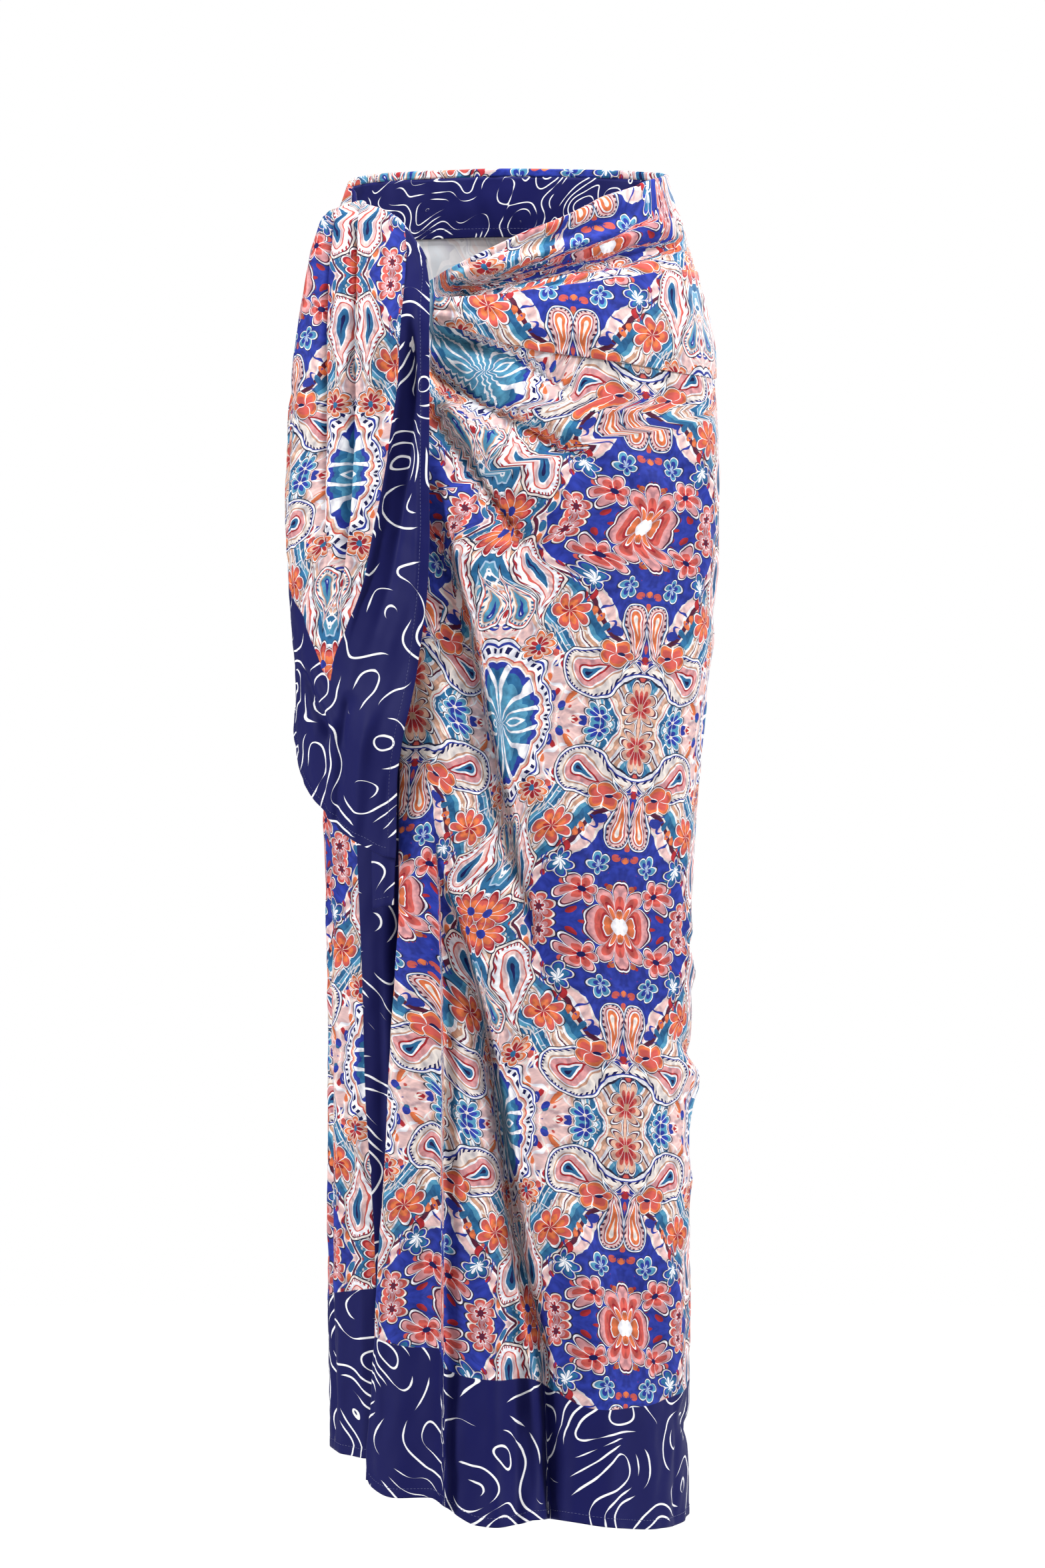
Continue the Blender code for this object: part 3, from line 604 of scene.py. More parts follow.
def cloth_up(turn, height, hidden_t):
    """Distance up the flat cloth from its hem, in millimetres."""
    return height - read(HEM_EDGE, turn) + hidden_t


def with_rim(turn, height, lift, hidden_t):
    """Rows that carry the grid over the rim: turns, heights, lifts and cloth heights."""
    top = height[-1]
    up = cloth_up(turn, height, hidden_t)
    turns, heights, lifts, ups = [turn], [height], [lift], [up]
    for angle in RIM_ANGLES:
        turns.append(turn[-1:])
        heights.append((top + RIM_RADIUS * np.sin(angle))[None, :])
        lifts.append((lift[-1] - RIM_RADIUS * (1 - np.cos(angle)))[None, :])
        ups.append((up[-1] + RIM_RADIUS * angle)[None, :])
    for drop in RIM_DROPS:
        turns.append(turn[-1:])
        heights.append((top - drop)[None, :])
        lifts.append((lift[-1] - 2 * RIM_RADIUS)[None, :])
        ups.append((up[-1] + RIM_RADIUS * np.pi + drop)[None, :])
    return [np.concatenate(parts) for parts in (turns, heights, lifts, ups)]


def bottom_inset(turn, height):
    """Distance from the hem, so scaled that the border ends where it should."""
    low = read(HEM_EDGE, turn)
    top = read(BORDER_TOP, turn)
    return np.where(height < top, BORDER * (height - low) / (top - low), BORDER + height - top)


def hem_step(inset):
    """The narrow stitched hem stands a little proud and dips at its stitches."""
    proud = HEM_PROUD * (1 - ease((inset - HEM_WIDTH) / 1.2))
    dip = STITCH_DIP * np.exp(-((inset - STITCH_LINE) / 0.9) ** 2)
    return proud - dip


def longer(grid, extra):
    """A grid with its last row repeated."""
    return np.concatenate([grid, np.repeat(grid[-1:], extra, axis=0)])


def wound_grid(turn):
    """Points, places on the cloth and inset for a grid of turns up the whole height."""
    height = heights_at(turn, ROWS)
    height = height - RIM_RADIUS * ease((ROWS - RIM_SHARE) / (1 - RIM_SHARE))
    lift, moved_turn, moved_height, hidden_s, hidden_t = wound(turn, height)
    lift = lift + hem_step(height - read(HEM_EDGE, turn))
    inset = bottom_inset(turn, height)
    rim_turn, rim_height, rim_lift, up = with_rim(moved_turn, moved_height, lift, hidden_t)
    up[:len(ROWS)] = cloth_up(turn, height, hidden_t)
    extra = len(rim_height) - len(height)
    points = on_form(rim_turn, rim_height, rim_lift)
    return points, up, longer(inset, extra), longer(hidden_s, extra)


print(len(ROWS), "rows,", len(RIM_ANGLES) + len(RIM_DROPS), "more over the rim")

# %% [markdown]
# ## The front
# The front hangs in folds that fan out from the knot, so its columns follow the fan
# and no fold cuts across them. Its free end is rolled back inside, as the weight of the
# cloth does by itself.

# %% The front
HEM_ROLL = 5.0              # radius of the rolled free end
ROLL_RETURN = 45.0          # cloth that goes on inside it
ROLL_ANGLES = np.radians(np.linspace(180, 15, 12))
RETURN_SHARES = (1.0, 0.75, 0.5, 0.3, 0.15)
ROLL_COLUMNS = len(RETURN_SHARES) + len(ROLL_ANGLES)
RETURN_GAP = 1.5
FAN_COLUMNS = 95
SIDE_COLUMNS = 62


def front_points():
    """The lapped front: its points, its place on the cloth and its inset."""
    start = settle(FRONT_EDGE, -35, ROWS)
    middle = settle(FAN_LINE, 0, ROWS)
    fan = np.linspace(0, 1, FAN_COLUMNS)[None, :]
    side = np.linspace(0, 1, SIDE_COLUMNS)[None, 1:]
    turn = np.concatenate([start + (middle - start) * fan,
                           middle + (FRONT_END - middle) * side], axis=1)
    points, up, inset, hidden_s = wound_grid(turn)
    across = level_distance(points)
    across = across - across[:, -1:] + hidden_s - hidden_s[:, -1:]
    # The roll and the return are carried by the grid's first column
    height = heights_at(start, ROWS)
    lift, moved_turn, moved_height, _, _ = wound(start, height)
    lift = lift + hem_step(height - read(HEM_EDGE, start))
    columns = []
    for part in RETURN_SHARES:
        reach = moved_turn + ROLL_RETURN / DEGREE_WIDTH * part
        behind = wound(reach, height)[0] - 2 * WALL - RETURN_GAP
        sunk = np.minimum(lift - 2 * HEM_ROLL, behind)
        columns.append(on_form(reach, moved_height, sunk))
    for angle in ROLL_ANGLES:
        ahead = HEM_ROLL * np.sin(angle) / DEGREE_WIDTH
        sink = HEM_ROLL * (1 - np.cos(angle))
        columns.append(on_form(moved_turn - ahead, moved_height, lift - sink))
    # The rim's rows keep the roll's shape and only close it at the top
    roll = longer(np.concatenate(columns, axis=1), len(points) - len(ROWS))
    roll[len(ROWS):, :, 2] = points[len(ROWS):, :1, 2]
    whole = np.concatenate([roll, points], axis=1)
    back_way = level_distance(whole)[:, :ROLL_COLUMNS + 1]
    back_way = back_way - back_way[:, -1:] + across[:, :1]
    across = np.concatenate([back_way[:, :-1], across], axis=1)
    up, inset = [np.concatenate([np.repeat(grid[:, :1], ROLL_COLUMNS, axis=1), grid], axis=1)
                 for grid in (up, inset)]
    return whole, across, up, inset


front_whole, front_across, front_up, front_inset = front_points()
front = shell("front", front_whole, front_across, front_up, front_inset,
              ["front_skirt", "front_hip"])

# %% [markdown]
# ## The back and the inner end
# The back carries on from the front in the same surface, and then the inner end turns
# round the tied hip and runs straight across behind the front. Both reuse the rows of
# the front, so that the stretches meet point for point.

# %% The back and the inner end
BORDER_LINE = [
    # height, x at which the inner end's border starts
    (-90, -119), (-300, -117), (-520, -116), (-560, -115), (-662, -110.4), (-739, -108),
    (-790, -104), (-841, -100.8), (-1050, -95),
]
BACK_COLUMNS = 112
UNDER_COLUMNS = 100
TURNED_COLUMNS = 40         # columns of the inner end that still run round the hip
PAST_BACK = 0.001           # the least turn that is no longer the back


def back_points():
    """The back, which needs no fan."""
    turn = np.linspace(FRONT_END, BACK_END, BACK_COLUMNS)[None, :] + 0 * ROWS
    points, up, inset, _ = wound_grid(turn)
    return points, level_distance(points), up, inset


def under_points(before):
    """The inner end, whose print goes on after the cloth before it."""
    end = settle(UNDER_LIMIT, 335, ROWS)
    part = np.linspace(0, 1, UNDER_COLUMNS)[None, :]
    turn = BACK_END + PAST_BACK + (end - BACK_END) * part
    points, up, inset, _ = wound_grid(turn)
    across = level_distance(points)
    # Where the border starts on each row, as a distance along it
    border_x = read(BORDER_LINE, points[:, -1, 2])
    border_at = np.array([
        np.interp(x, row[TURNED_COLUMNS:, 0], far[TURNED_COLUMNS:])
        for x, row, far in zip(border_x, points, across)
    ])[:, None]
    end_inset = BORDER * (across[:, -1:] - across) / (across[:, -1:] - border_at)
    return points, across + before, up, np.minimum(inset, end_inset)


back_whole, back_across, back_up, back_inset = back_points()
back = shell("back", back_whole, back_across, back_up, back_inset, ["back_skirt", "back_hip"])
under_whole, under_across, under_up, under_inset = under_points(back_across[:, -1:])
inner_end = shell("inner_end", under_whole, under_across, under_up, under_inset,
                  ["under_skirt", "under_hip"])

# %% [markdown]
# ## The turned-down top
# Inside the waist the top border hangs down from the rim with its own straight hem. It
# starts where the rim's last row ends, so the two read as one cloth.

# %% The turned-down top
FOLDOVER = 52.0
FOLDOVER_START = 80.0
FOLDOVER_END = 262.0
FOLDOVER_COLUMNS = 170
FOLDOVER_SLACK = 0.5
FOLDOVER_PRINT = 1500.0     # how far up its strokes are from those of the hem


def foldover_points():
    """The turned-down border, right side inward."""
    turn = np.linspace(FOLDOVER_START, FOLDOVER_END, FOLDOVER_COLUMNS)[None, :]
    down = np.concatenate([np.linspace(RIM_RETURN, FOLDOVER - 10, 16),
                           np.linspace(FOLDOVER - 10, FOLDOVER, 12)[1:]])[:, None]
    height = read(TOP_EDGE, turn) - RIM_RADIUS - down
    lift, moved_turn, _, _, _ = wound(turn, height)
    slack = FOLDOVER_SLACK * ease((down - RIM_RETURN) / 30)
    lift = lift - 2 * RIM_RADIUS - slack * (1 + np.sin(turn / 7.0)) - hem_step(FOLDOVER - down)
    points = on_form(moved_turn, height, lift)[::-1, ::-1]
    edge = np.broadcast_to(FOLDOVER - down, height.shape)[::-1, ::-1]
    return points, level_distance(points), edge + FOLDOVER_PRINT, edge


fold_whole, fold_across, fold_up, fold_inset = foldover_points()
turned_top = shell("turned_down_top", fold_whole, fold_across, fold_up, fold_inset,
                   ["waist_foldover"])

# %% [markdown]
# ## The hip band
# A wide pleat crosses from the knot over the other hip. Its section is an arch with both
# edges rolled under, so that it lies on the front like a sash and not like a patch.

# %% The hip band
BAND = [
    # turn, upper height, lower height, rise
    (-21, -103, -121, 3.0), (-10, -102, -127, 4.2), (0, -100, -136, 4.6),
    (10, -96, -142, 4.6), (22, -92, -146, 4.4), (40, -86, -152, 4.0), (58, -80, -157, 3.2),
    (82, -78, -159, 2.0), (105, -80, -150, 1.6), (128, -88, -132, 1.4),
]
BAND_RIDGES = [
    # name, middle share, half width, rise, turn at which it has faded
    ("upper ridge", 0.78, 0.10, 0.9, 40),
    ("middle trough", 0.55, 0.09, -1.0, 52),
    ("lower ridge", 0.30, 0.12, 0.8, 75),
]
BAND_ROLL = 1.3
BAND_TUCKS = (3.5, 9.0)     # rows of cloth that go on under each rolled edge
BAND_SINK = 1.2             # how much closer it lies past the side of the front
BAND_PRINT = (58.0, 960.0)  # how far its print is from that of the front, across and up
BAND_COLUMNS = 230
BAND_ROWS = 34


def rolled(height, lift, side):
    """Rows over a rolled edge, as pairs of height and lift."""
    return [(height + side * BAND_ROLL * np.sin(angle), lift - BAND_ROLL * (1 - np.cos(angle)))
            for angle in RIM_ANGLES]


def tucked_under(height, lift, side):
    """Rows that go on flat under a rolled edge."""
    return [(height - side * tuck, lift - 2 * BAND_ROLL) for tuck in BAND_TUCKS]


def band_points():
    """The wide pleat, from under its lower edge to under its upper one."""
    turns = column(BAND, 0)
    turn = np.linspace(turns[0], turns[-1], BAND_COLUMNS)[None, :]
    upper, lower, rise = [smooth(turns, column(BAND, number), turn) for number in (1, 2, 3)]
    part = np.linspace(0, 1, BAND_ROWS)[:, None]
    height = lower + (upper - lower) * part
    arch = rise * np.sin(np.pi * (0.03 + 0.89 * part))
    for name, middle, width, ridge, gone in BAND_RIDGES:
        arch = arch + ridge * np.exp(-((part - middle) / width) ** 2) * ease((gone - turn) / 60)
    base = folds_at(FOLDS, turn, height)[0] + wavy(turn, height) + LAYER_GAP + WALL
    lift = base - BAND_SINK * ease((turn - 45) / 35) + arch
    below = rolled(height[:1], lift[:1], -1) + tucked_under(height[:1], lift[:1], -1)
    above = rolled(height[-1:], lift[-1:], 1) + tucked_under(height[-1:], lift[-1:], 1)
    rows = below[::-1] + [(height, lift)] + above
    heights, lifts = [np.concatenate(parts) for parts in zip(*rows)]
    points = on_form(turn, heights, lifts)
    step = np.hypot(np.diff(heights, axis=0), np.diff(lifts, axis=0))
    up = np.concatenate([np.zeros(turn.shape), np.cumsum(step, axis=0)])
    across = level_distance(points)
    across = across - np.interp(FRONT_END, turn[0], across[len(points) // 2])
    return points, across + BAND_PRINT[0], up + BAND_PRINT[1], np.full(up.shape, BORDER * 2)


band_whole, band_across, band_up, band_inset = band_points()
hip_band = shell("hip_band_pleat", band_whole, band_across, band_up, band_inset, ["hip_band"])

# %% [markdown]
# ## The large tail
# The outer corner's tail falls from over the knot in three round tubes and wraps the hip.
# Its right and lower edges are the cloth's finished edges, so the border runs along both
# and the print ends in a point between them.

# %% The large tail's edges and folds
TAIL_BACK_EDGE = -104.0
TAIL_TOP = [
    # turn, height
    (-104, -46), (-90, -36), (-80, -31), (-66, -28), (-57, -25), (-50, -29), (-42, -34),
    (-36, -40), (-31, -50), (-28, -58), (-24, -72), (-22, -84), (-20, -99),
]
TAIL_LOW = [
    # turn, height
    (-104, -385), (-97, -415), (-90, -437), (-83, -456), (-76, -471), (-69, -485),
    (-61, -499), (-53, -510), (-44, -520), (-37, -527), (-20, -531),
]
TAIL_FRONT_EDGE = [
    # height, turn
    (-60, -27.5), (-72, -24), (-99, -21.5), (-140, -20.6), (-277, -20.1), (-327, -21),
    (-347, -22), (-383, -24.4), (-406, -26), (-444, -29.6), (-470, -31.9), (-532, -33.3),
]
TAIL_LIFT = [
    # height, lift over the form
    (-25, 5), (-40, 9), (-100, 10), (-190, 10), (-325, 11), (-380, 11), (-433, 16),
    (-464, 14), (-535, 11),
]
TAIL_FOLDS = [
    # name, way, rise, before, after, lean, hidden, fade in, fade out, path
    ("first tube", "down", 3.5, 14, 10, 0, 0, 0.1, 0.3,
     [(-78, -36), (-74, -110), (-71, -200), (-72, -330)]),
    ("first groove", "down", -4.5, 6, 6, 0, 0, 0.1, 0.3,
     [(-66.8, -40), (-62.8, -91), (-58.8, -138), (-56, -200), (-55, -275)]),
    ("second tube", "down", 3, 7, 7, 0, 0, 0.1, 0.3,
     [(-60, -30), (-54, -100), (-50, -180), (-50, -270), (-55, -340)]),
    ("second groove", "down", -4.5, 6, 6, 0, 0, 0.1, 0.3,
     [(-54, -30), (-46, -122), (-44.2, -180), (-45, -269), (-49, -320)]),
    ("third tube", "down", 4, 9, 7, 0, 0, 0.1, 0.3,
     [(-45, -40), (-37, -120), (-37, -200), (-41, -280), (-48, -350), (-54, -390)]),
    ("dark recess", "down", -4, 7, 8, 0, 0, 0.2, 0.4,
     [(-27, -80), (-26, -160), (-28.5, -230), (-32, -300), (-38, -360), (-44, -420)]),
    ("hem crest", "down", 2.5, 8, 7, 0, 0, 0.2, 0.3,
     [(-22, -110), (-22.5, -230), (-23, -330), (-30, -440), (-35, -500)]),
    ("lower crease", "down", -4, 8, 8, 0, 0, 0.2, 0.2,
     [(-58, -410), (-62, -460), (-66, -512)]),
    ("side crease", "down", -4, 9, 9, 0, 0, 0.3, 0.3,
     [(-96, -370), (-88, -420), (-80, -462)]),
    ("first lip", "down", 2.2, 2.0, 7, -2.0, 16, 0.02, 0.35,
     [(-65, -34), (-61, -91), (-57, -138), (-54.2, -200), (-53.4, -275), (-55, -330)]),
    ("second lip", "down", 2.6, 1.8, 8, -2.4, 26, 0.02, 0.3,
     [(-52.4, -26), (-44.4, -122), (-42.6, -180), (-43.2, -269), (-47.4, -330),
      (-52, -380)]),
    ("first groove floor", "down", -6.0, 2.4, 3.4, 0, 16, 0.02, 0.4,
     [(-67.4, -38), (-63.4, -91), (-59.4, -138), (-56.6, -200), (-55.6, -275), (-57, -330)]),
    ("second groove floor", "down", -6.4, 2.4, 3.0, 0, 22, 0.02, 0.35,
     [(-54.8, -30), (-46.8, -122), (-45.0, -180), (-45.6, -269), (-49.6, -330),
      (-54, -380)]),
    ("third side", "down", 3.4, 5, 1.8, 2.2, 10, 0.05, 0.3,
     [(-33.5, -52), (-30.5, -100), (-30.2, -160), (-33.5, -236), (-38.5, -304),
      (-46, -353), (-54, -392)]),
    ("recess floor", "down", -6.0, 3.5, 4, 0, 8, 0.2, 0.5,
     [(-26, -110), (-25.4, -180), (-27.5, -240), (-31, -300), (-37, -360)]),
    ("hem turn", "down", 1.6, 3, 5, 0, 0, 0.1, 0.4,
     [(-24.5, -90), (-23.4, -140), (-23.2, -240), (-24.4, -330), (-27, -390)]),
    ("first slack", "down", -1.4, 4, 5, 0, 0, 0.3, 0.4,
     [(-86, -60), (-83, -150), (-82, -250), (-84, -340)]),
    ("hip wrap", "across", -1.8, 6, 8, 0, 0, 0.4, 0.4,
     [(-100, -150), (-90, -168), (-78, -176), (-66, -170)]),
    ("fall crease", "down", -4.4, 3.5, 7, 0, 8, 0.1, 0.3,
     [(-76.5, -380), (-67, -405), (-61, -426), (-58, -450)]),
    ("fall ridge", "down", 3.0, 6, 4, 0, 0, 0.3, 0.3,
     [(-70, -372), (-62, -398), (-55, -424), (-51, -460)]),
    ("corner crease", "down", -4.6, 4, 7, 0, 8, 0.1, 0.2,
     [(-48.6, -400), (-53, -450), (-57.5, -488), (-59, -520)]),
    ("corner ridge", "down", 3.2, 6, 6, 0, 0, 0.3, 0.2,
     [(-38, -400), (-43, -450), (-47, -500), (-48, -526)]),
    ("edge slack", "down", -1.2, 5, 5, 0, 0, 0.4, 0.3,
     [(-30, -420), (-35, -470), (-38, -520)]),
]
print(len(TAIL_FOLDS), "folds in the large tail")

# %% [markdown]
# ## The tail's points
# Each row of the tail runs from its hidden back edge to its finished front edge. Both the
# top and the lower edge are curves, so the rows are found by a few rounds of correction
# and not by a formula. Where the tail passes over the knot it bulges, and its top rolls
# over.

# %% The large tail
TAIL_SIDE_BORDER = [
    # height, turn at which the side border meets the print
    (-40, -33.5), (-60, -31), (-80, -29.7), (-107, -28.8), (-130, -28.8), (-161, -29.8),
    (-207, -32.3), (-236, -33.7), (-281, -37.3), (-324, -41.5), (-353, -47.6),
    (-377, -54), (-394, -56),
]
TAIL_LOW_BORDER = [
    # turn, height at which the lower border meets the print
    (-104, -296), (-95, -306), (-82, -324), (-71, -342), (-67, -357), (-62.5, -374),
    (-60.5, -383), (-55.5, -394), (-45, -402), (-33, -408), (-20, -410),
]
KNOT_TURN = -31.0
KNOT_LEVEL = -122.0
KNOT_WIDTH = 44.0
KNOT_HEIGHT = 58.0
TAIL_OVER_KNOT = 12.5
TAIL_ROLL = 2.2
TAIL_SLIP = 0.4             # share of the hidden cloth that the print jumps
TAIL_PRINT = (-640.0, 620.0)
TAIL_ROWS = shares(0.0, (0.02, 6), (1.0, 200))[:, None]
TAIL_COLUMNS = shares(0.0, (0.03, 4), (0.93, 138), (1.0, 22))[None, :]
TAIL_ROLL_ANGLES = np.radians([30, 60, 90, 120, 150])
TAIL_ROLL_ENDS = [(2.0, 1.6), (5.0, 1.7)]   # drop inside the roll, depth in roll radii


def tail_lift(turn, height):
    """Lift, moved turn and hidden cloth of the large tail."""
    lift, shift_turn, _, hidden_s, _ = folds_at(TAIL_FOLDS, turn, height)
    aside = (turn - KNOT_TURN) * DEGREE_WIDTH / KNOT_WIDTH
    above = (height - KNOT_LEVEL) / KNOT_HEIGHT
    bump = TAIL_OVER_KNOT * np.exp(-2.2 * aside ** 2 - 2.0 * above ** 2)
    lift = lift + read(TAIL_LIFT, height) + bump + 0.6 * wavy(turn * 1.7, height * 1.4)
    return lift, turn + shift_turn, hidden_s


def tail_insets(turn, height):
    """Distances from the tail's side edge and lower edge, so scaled as the border shows."""
    edge = read(TAIL_FRONT_EDGE, height)
    line = read(TAIL_SIDE_BORDER, height)
    side = BORDER * (edge - turn) / np.maximum(edge - line, 3.0)
    low = read(TAIL_LOW, turn)
    lower = BORDER * (height - low) / (read(TAIL_LOW_BORDER, turn) - low)
    return side, lower


def tail_points():
    """The large tail, and its distance from the lower edge and the slip of its print."""
    end = TAIL_FRONT_EDGE[0][1]
    turn = TAIL_BACK_EDGE + (end - TAIL_BACK_EDGE) * TAIL_COLUMNS + 0 * TAIL_ROWS
    for _ in range(7):
        low = read(TAIL_LOW, turn)
        height = low + (read(TAIL_TOP, turn) - TAIL_ROLL - low) * TAIL_ROWS
        end = read(TAIL_FRONT_EDGE, height)
        turn = TAIL_BACK_EDGE + (end - TAIL_BACK_EDGE) * TAIL_COLUMNS
    lift, moved, hidden = tail_lift(turn, height)
    side, lower = tail_insets(turn, height)
    from_edge = (end - turn) * DEGREE_WIDTH
    from_low = height - read(TAIL_LOW, turn)
    up = height - TAIL_LOW[-1][1]
    lift = lift + hem_step(from_edge) + hem_step(from_low)
    # The top of the tail rolls over towards the knot
    rows = [(moved, height, lift)]
    top, high, over = moved[-1:], height[-1:], lift[-1:]
    for angle in TAIL_ROLL_ANGLES:
        rows.append((top, high + TAIL_ROLL * np.sin(angle),
                     over - 0.8 * TAIL_ROLL * (1 - np.cos(angle))))
    rows += [(top, high - drop, over - depth * TAIL_ROLL) for drop, depth in TAIL_ROLL_ENDS]
    moved, height, lift = [np.concatenate(parts) for parts in zip(*rows)]
    extra = len(rows) - 1
    inset = longer(np.minimum(side, lower), extra)
    hidden = longer(hidden, extra)
    up = np.concatenate([up, up[-1:] + np.arange(1, extra + 1)[:, None]])
    points = on_form(moved, height, lift)
    across = level_distance(points)
    # The print slips over the hidden cloth, half to each side, so that it isn't sheared
    slip = TAIL_SLIP * (hidden - hidden[:, -1:] / 2)
    return points, across - across[:, -1:], up, inset, from_low, slip


tail_whole, tail_across, tail_up, tail_inset, tail_low, tail_slip = tail_points()
large_tail = shell("large_tail_fall", tail_whole, tail_across + tail_slip + TAIL_PRINT[0],
                   tail_up + TAIL_PRINT[1], tail_inset, ["large_tail"])

# %% [markdown]
# ## The small tail
# The short end of the other corner hangs straight down under the large one, and only its foot
# shows. It is all border and hemmed on three sides, but only the stitched hem at its foot is made
# here.

# %% The small tail
SMALL_TAIL = [
    # height, left turn, right turn, lift over the form
    (-149, -41, -31.4, 2.6), (-300, -41.5, -30.4, 2.6), (-450, -42.5, -33.5, 3.2),
    (-535, -44, -35, 5.0), (-566, -43.5, -35.5, 5.8),
]
SMALL_ROWS = 150
SMALL_COLUMNS = 30
SMALL_PRINT = (300.0, 900.0)
FOOT_START = -520.0         # height below which the foot's edge slants
FOOT_HEIGHT = 46.0


def small_points():
    """The short end, with a slanting foot."""
    heights = column(SMALL_TAIL, 0)
    height = np.linspace(heights[0], heights[-1], SMALL_ROWS)[::-1, None]
    left, right, lift = [smooth(heights, column(SMALL_TAIL, number), height)
                         for number in (1, 2, 3)]
    part = np.linspace(0, 1, SMALL_COLUMNS)[None, :]
    turn = left + (right - left) * part
    foot = (turn + 40) * 0.5
    lift = lift + 0.8 * np.sin(np.pi * part) + 0.4 * np.sin(9 * part + height / 60)
    lift = lift + hem_step(height - heights[-1]) * 0.8
    height = height + foot * ease((FOOT_START - height) / FOOT_HEIGHT)
    points = on_form(turn, height, lift)
    width = (right - turn) * DEGREE_WIDTH
    inset = np.minimum(height - heights[-1] + 1, width + 1)
    return points, SMALL_PRINT[0] - width, height + SMALL_PRINT[1], inset


small_whole, small_across, small_up, small_inset = small_points()
small_tail = shell("small_tail_fall", small_whole, small_across, small_up, small_inset,
                   ["small_tail"])

# %% [markdown]
# ## The knot
# Two corners are tied together here, and the tail hides most of the knot. What can be
# seen from above and from the side are cords of twisted cloth that cross each other, so
# the lump gets deep slanting grooves.

# %% The knot
KNOT_DEPTH = 15.0
KNOT_COLUMNS = 121
KNOT_ROWS = 70
KNOT_POLE = 0.03            # radians left open at its front and back


def knot_points():
    """A flattened lump with crossing grooves and fine pleats."""
    around = np.linspace(0, 2 * np.pi, KNOT_COLUMNS)[None, :]
    ring = np.linspace(KNOT_POLE, np.pi - KNOT_POLE, KNOT_ROWS)[:, None]
    crossing = np.cos(3 * around + 2.4 * ring)
    groove = 1 - 0.10 * crossing ** 8
    pleats = 1 - 0.022 * (1 + np.cos(13 * around - 5 * ring)) * np.sin(ring)
    wide = np.sin(ring) * np.cos(around) * groove * pleats
    tall = np.sin(ring) * np.sin(around) * groove * pleats
    deep = np.cos(ring) + 0 * around
    turn = KNOT_TURN + wide * KNOT_WIDTH / 2 / DEGREE_WIDTH
    height = KNOT_LEVEL + tall * KNOT_HEIGHT / 2
    lift = LAYER_GAP + KNOT_DEPTH * (0.5 + 0.5 * deep)
    points = on_form(turn, height, lift)
    return points, around * 30, ring * 40 + 600, np.full(wide.shape, BORDER * 2)


knot_whole, knot_across, knot_up, knot_inset = knot_points()
knot = shell("tied_knot", knot_whole, knot_across, knot_up, knot_inset, ["knot"])

# %% [markdown]
# ## Stitches
# The hems are sewn with one row of small stitches in thread of the border's colour. Each
# stitch is a tiny capsule that dips into the cloth at both ends. Their rows are found on
# the grids above, where the distance from an edge reaches the stitch line, so they follow
# every fold. A drawn line would show no thread from close by.

# %% Stitches
STITCH_PITCH = 2.8
STITCH_LENGTH = 2.1
STITCH_BENDS = np.array([0, 0.22, 0.78, 1])
STITCH_ENDS = 0.1           # how deep its ends go into the cloth
STITCH_RISE = 0.12          # how far its middle stands over the cloth
THREAD_RADIUS = 0.2
THREAD_SIDES = 5


def seam_line(points, distance):
    """The stitch line by distance from an edge of a grid, and the outward direction."""
    outward = np.cross(np.gradient(points, axis=1), np.gradient(points, axis=0))
    outward /= np.linalg.norm(outward, axis=-1, keepdims=True)
    line = []
    away = []
    for number in range(points.shape[1]):
        reached = np.nonzero(distance[:, number] >= STITCH_LINE)[0]
        if len(reached) == 0 or reached[0] == 0:
            continue
        row = reached[0]
        before, after = distance[row - 1, number], distance[row, number]
        part = (STITCH_LINE - before) / (after - before)
        line.append(points[row - 1, number] * (1 - part) + points[row, number] * part)
        away.append(outward[row, number])
    return np.array(line), np.array(away)


def stitches(name, seams):
    """One mesh of small capsules along lines of points."""
    vertices = []
    faces = []
    around = 2 * np.pi * np.arange(THREAD_SIDES) / THREAD_SIDES
    for line, away in seams:
        step = np.linalg.norm(np.diff(line, axis=0), axis=1)
        far = np.concatenate([[0.0], np.cumsum(step)])
        for start in np.arange(2.0, far[-1] - STITCH_PITCH, STITCH_PITCH):
            at = start + STITCH_LENGTH * STITCH_BENDS
            place = np.stack([np.interp(at, far, line[:, axis]) for axis in range(3)], axis=1)
            out = np.array([np.interp(start, far, away[:, axis]) for axis in range(3)])
            out = out / np.linalg.norm(out)
            ahead = place[-1] - place[0]
            side = np.cross(ahead / np.linalg.norm(ahead), out)
            first = len(vertices)
            vertices.append(place[0] - STITCH_ENDS * out)
            for middle in place[1:3]:
                middle = middle + STITCH_RISE * out
                vertices += [middle + THREAD_RADIUS * (np.cos(angle) * out + np.sin(angle) * side)
                             for angle in around]
            vertices.append(place[3] - STITCH_ENDS * out)
            for number in range(THREAD_SIDES):
                one = first + 1 + number
                two = first + 1 + (number + 1) % THREAD_SIDES
                faces += [(first, one, two), (one, one + THREAD_SIDES, two + THREAD_SIDES, two),
                          (one + THREAD_SIDES, len(vertices) - 1, two + THREAD_SIDES)]
    mesh = bpy.data.meshes.new(name)
    mesh.from_pydata((np.array(vertices) * MM).tolist(), [], faces)
    mesh.shade_smooth()
    piece = add_object(name, mesh)
    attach(piece, "root")
    print(name, len(vertices) // (2 * THREAD_SIDES + 2), "stitches")
    return piece


def turned(grid):
    """A grid with its right edge as the first row."""
    return np.flip(np.swapaxes(grid, 0, 1), axis=0)


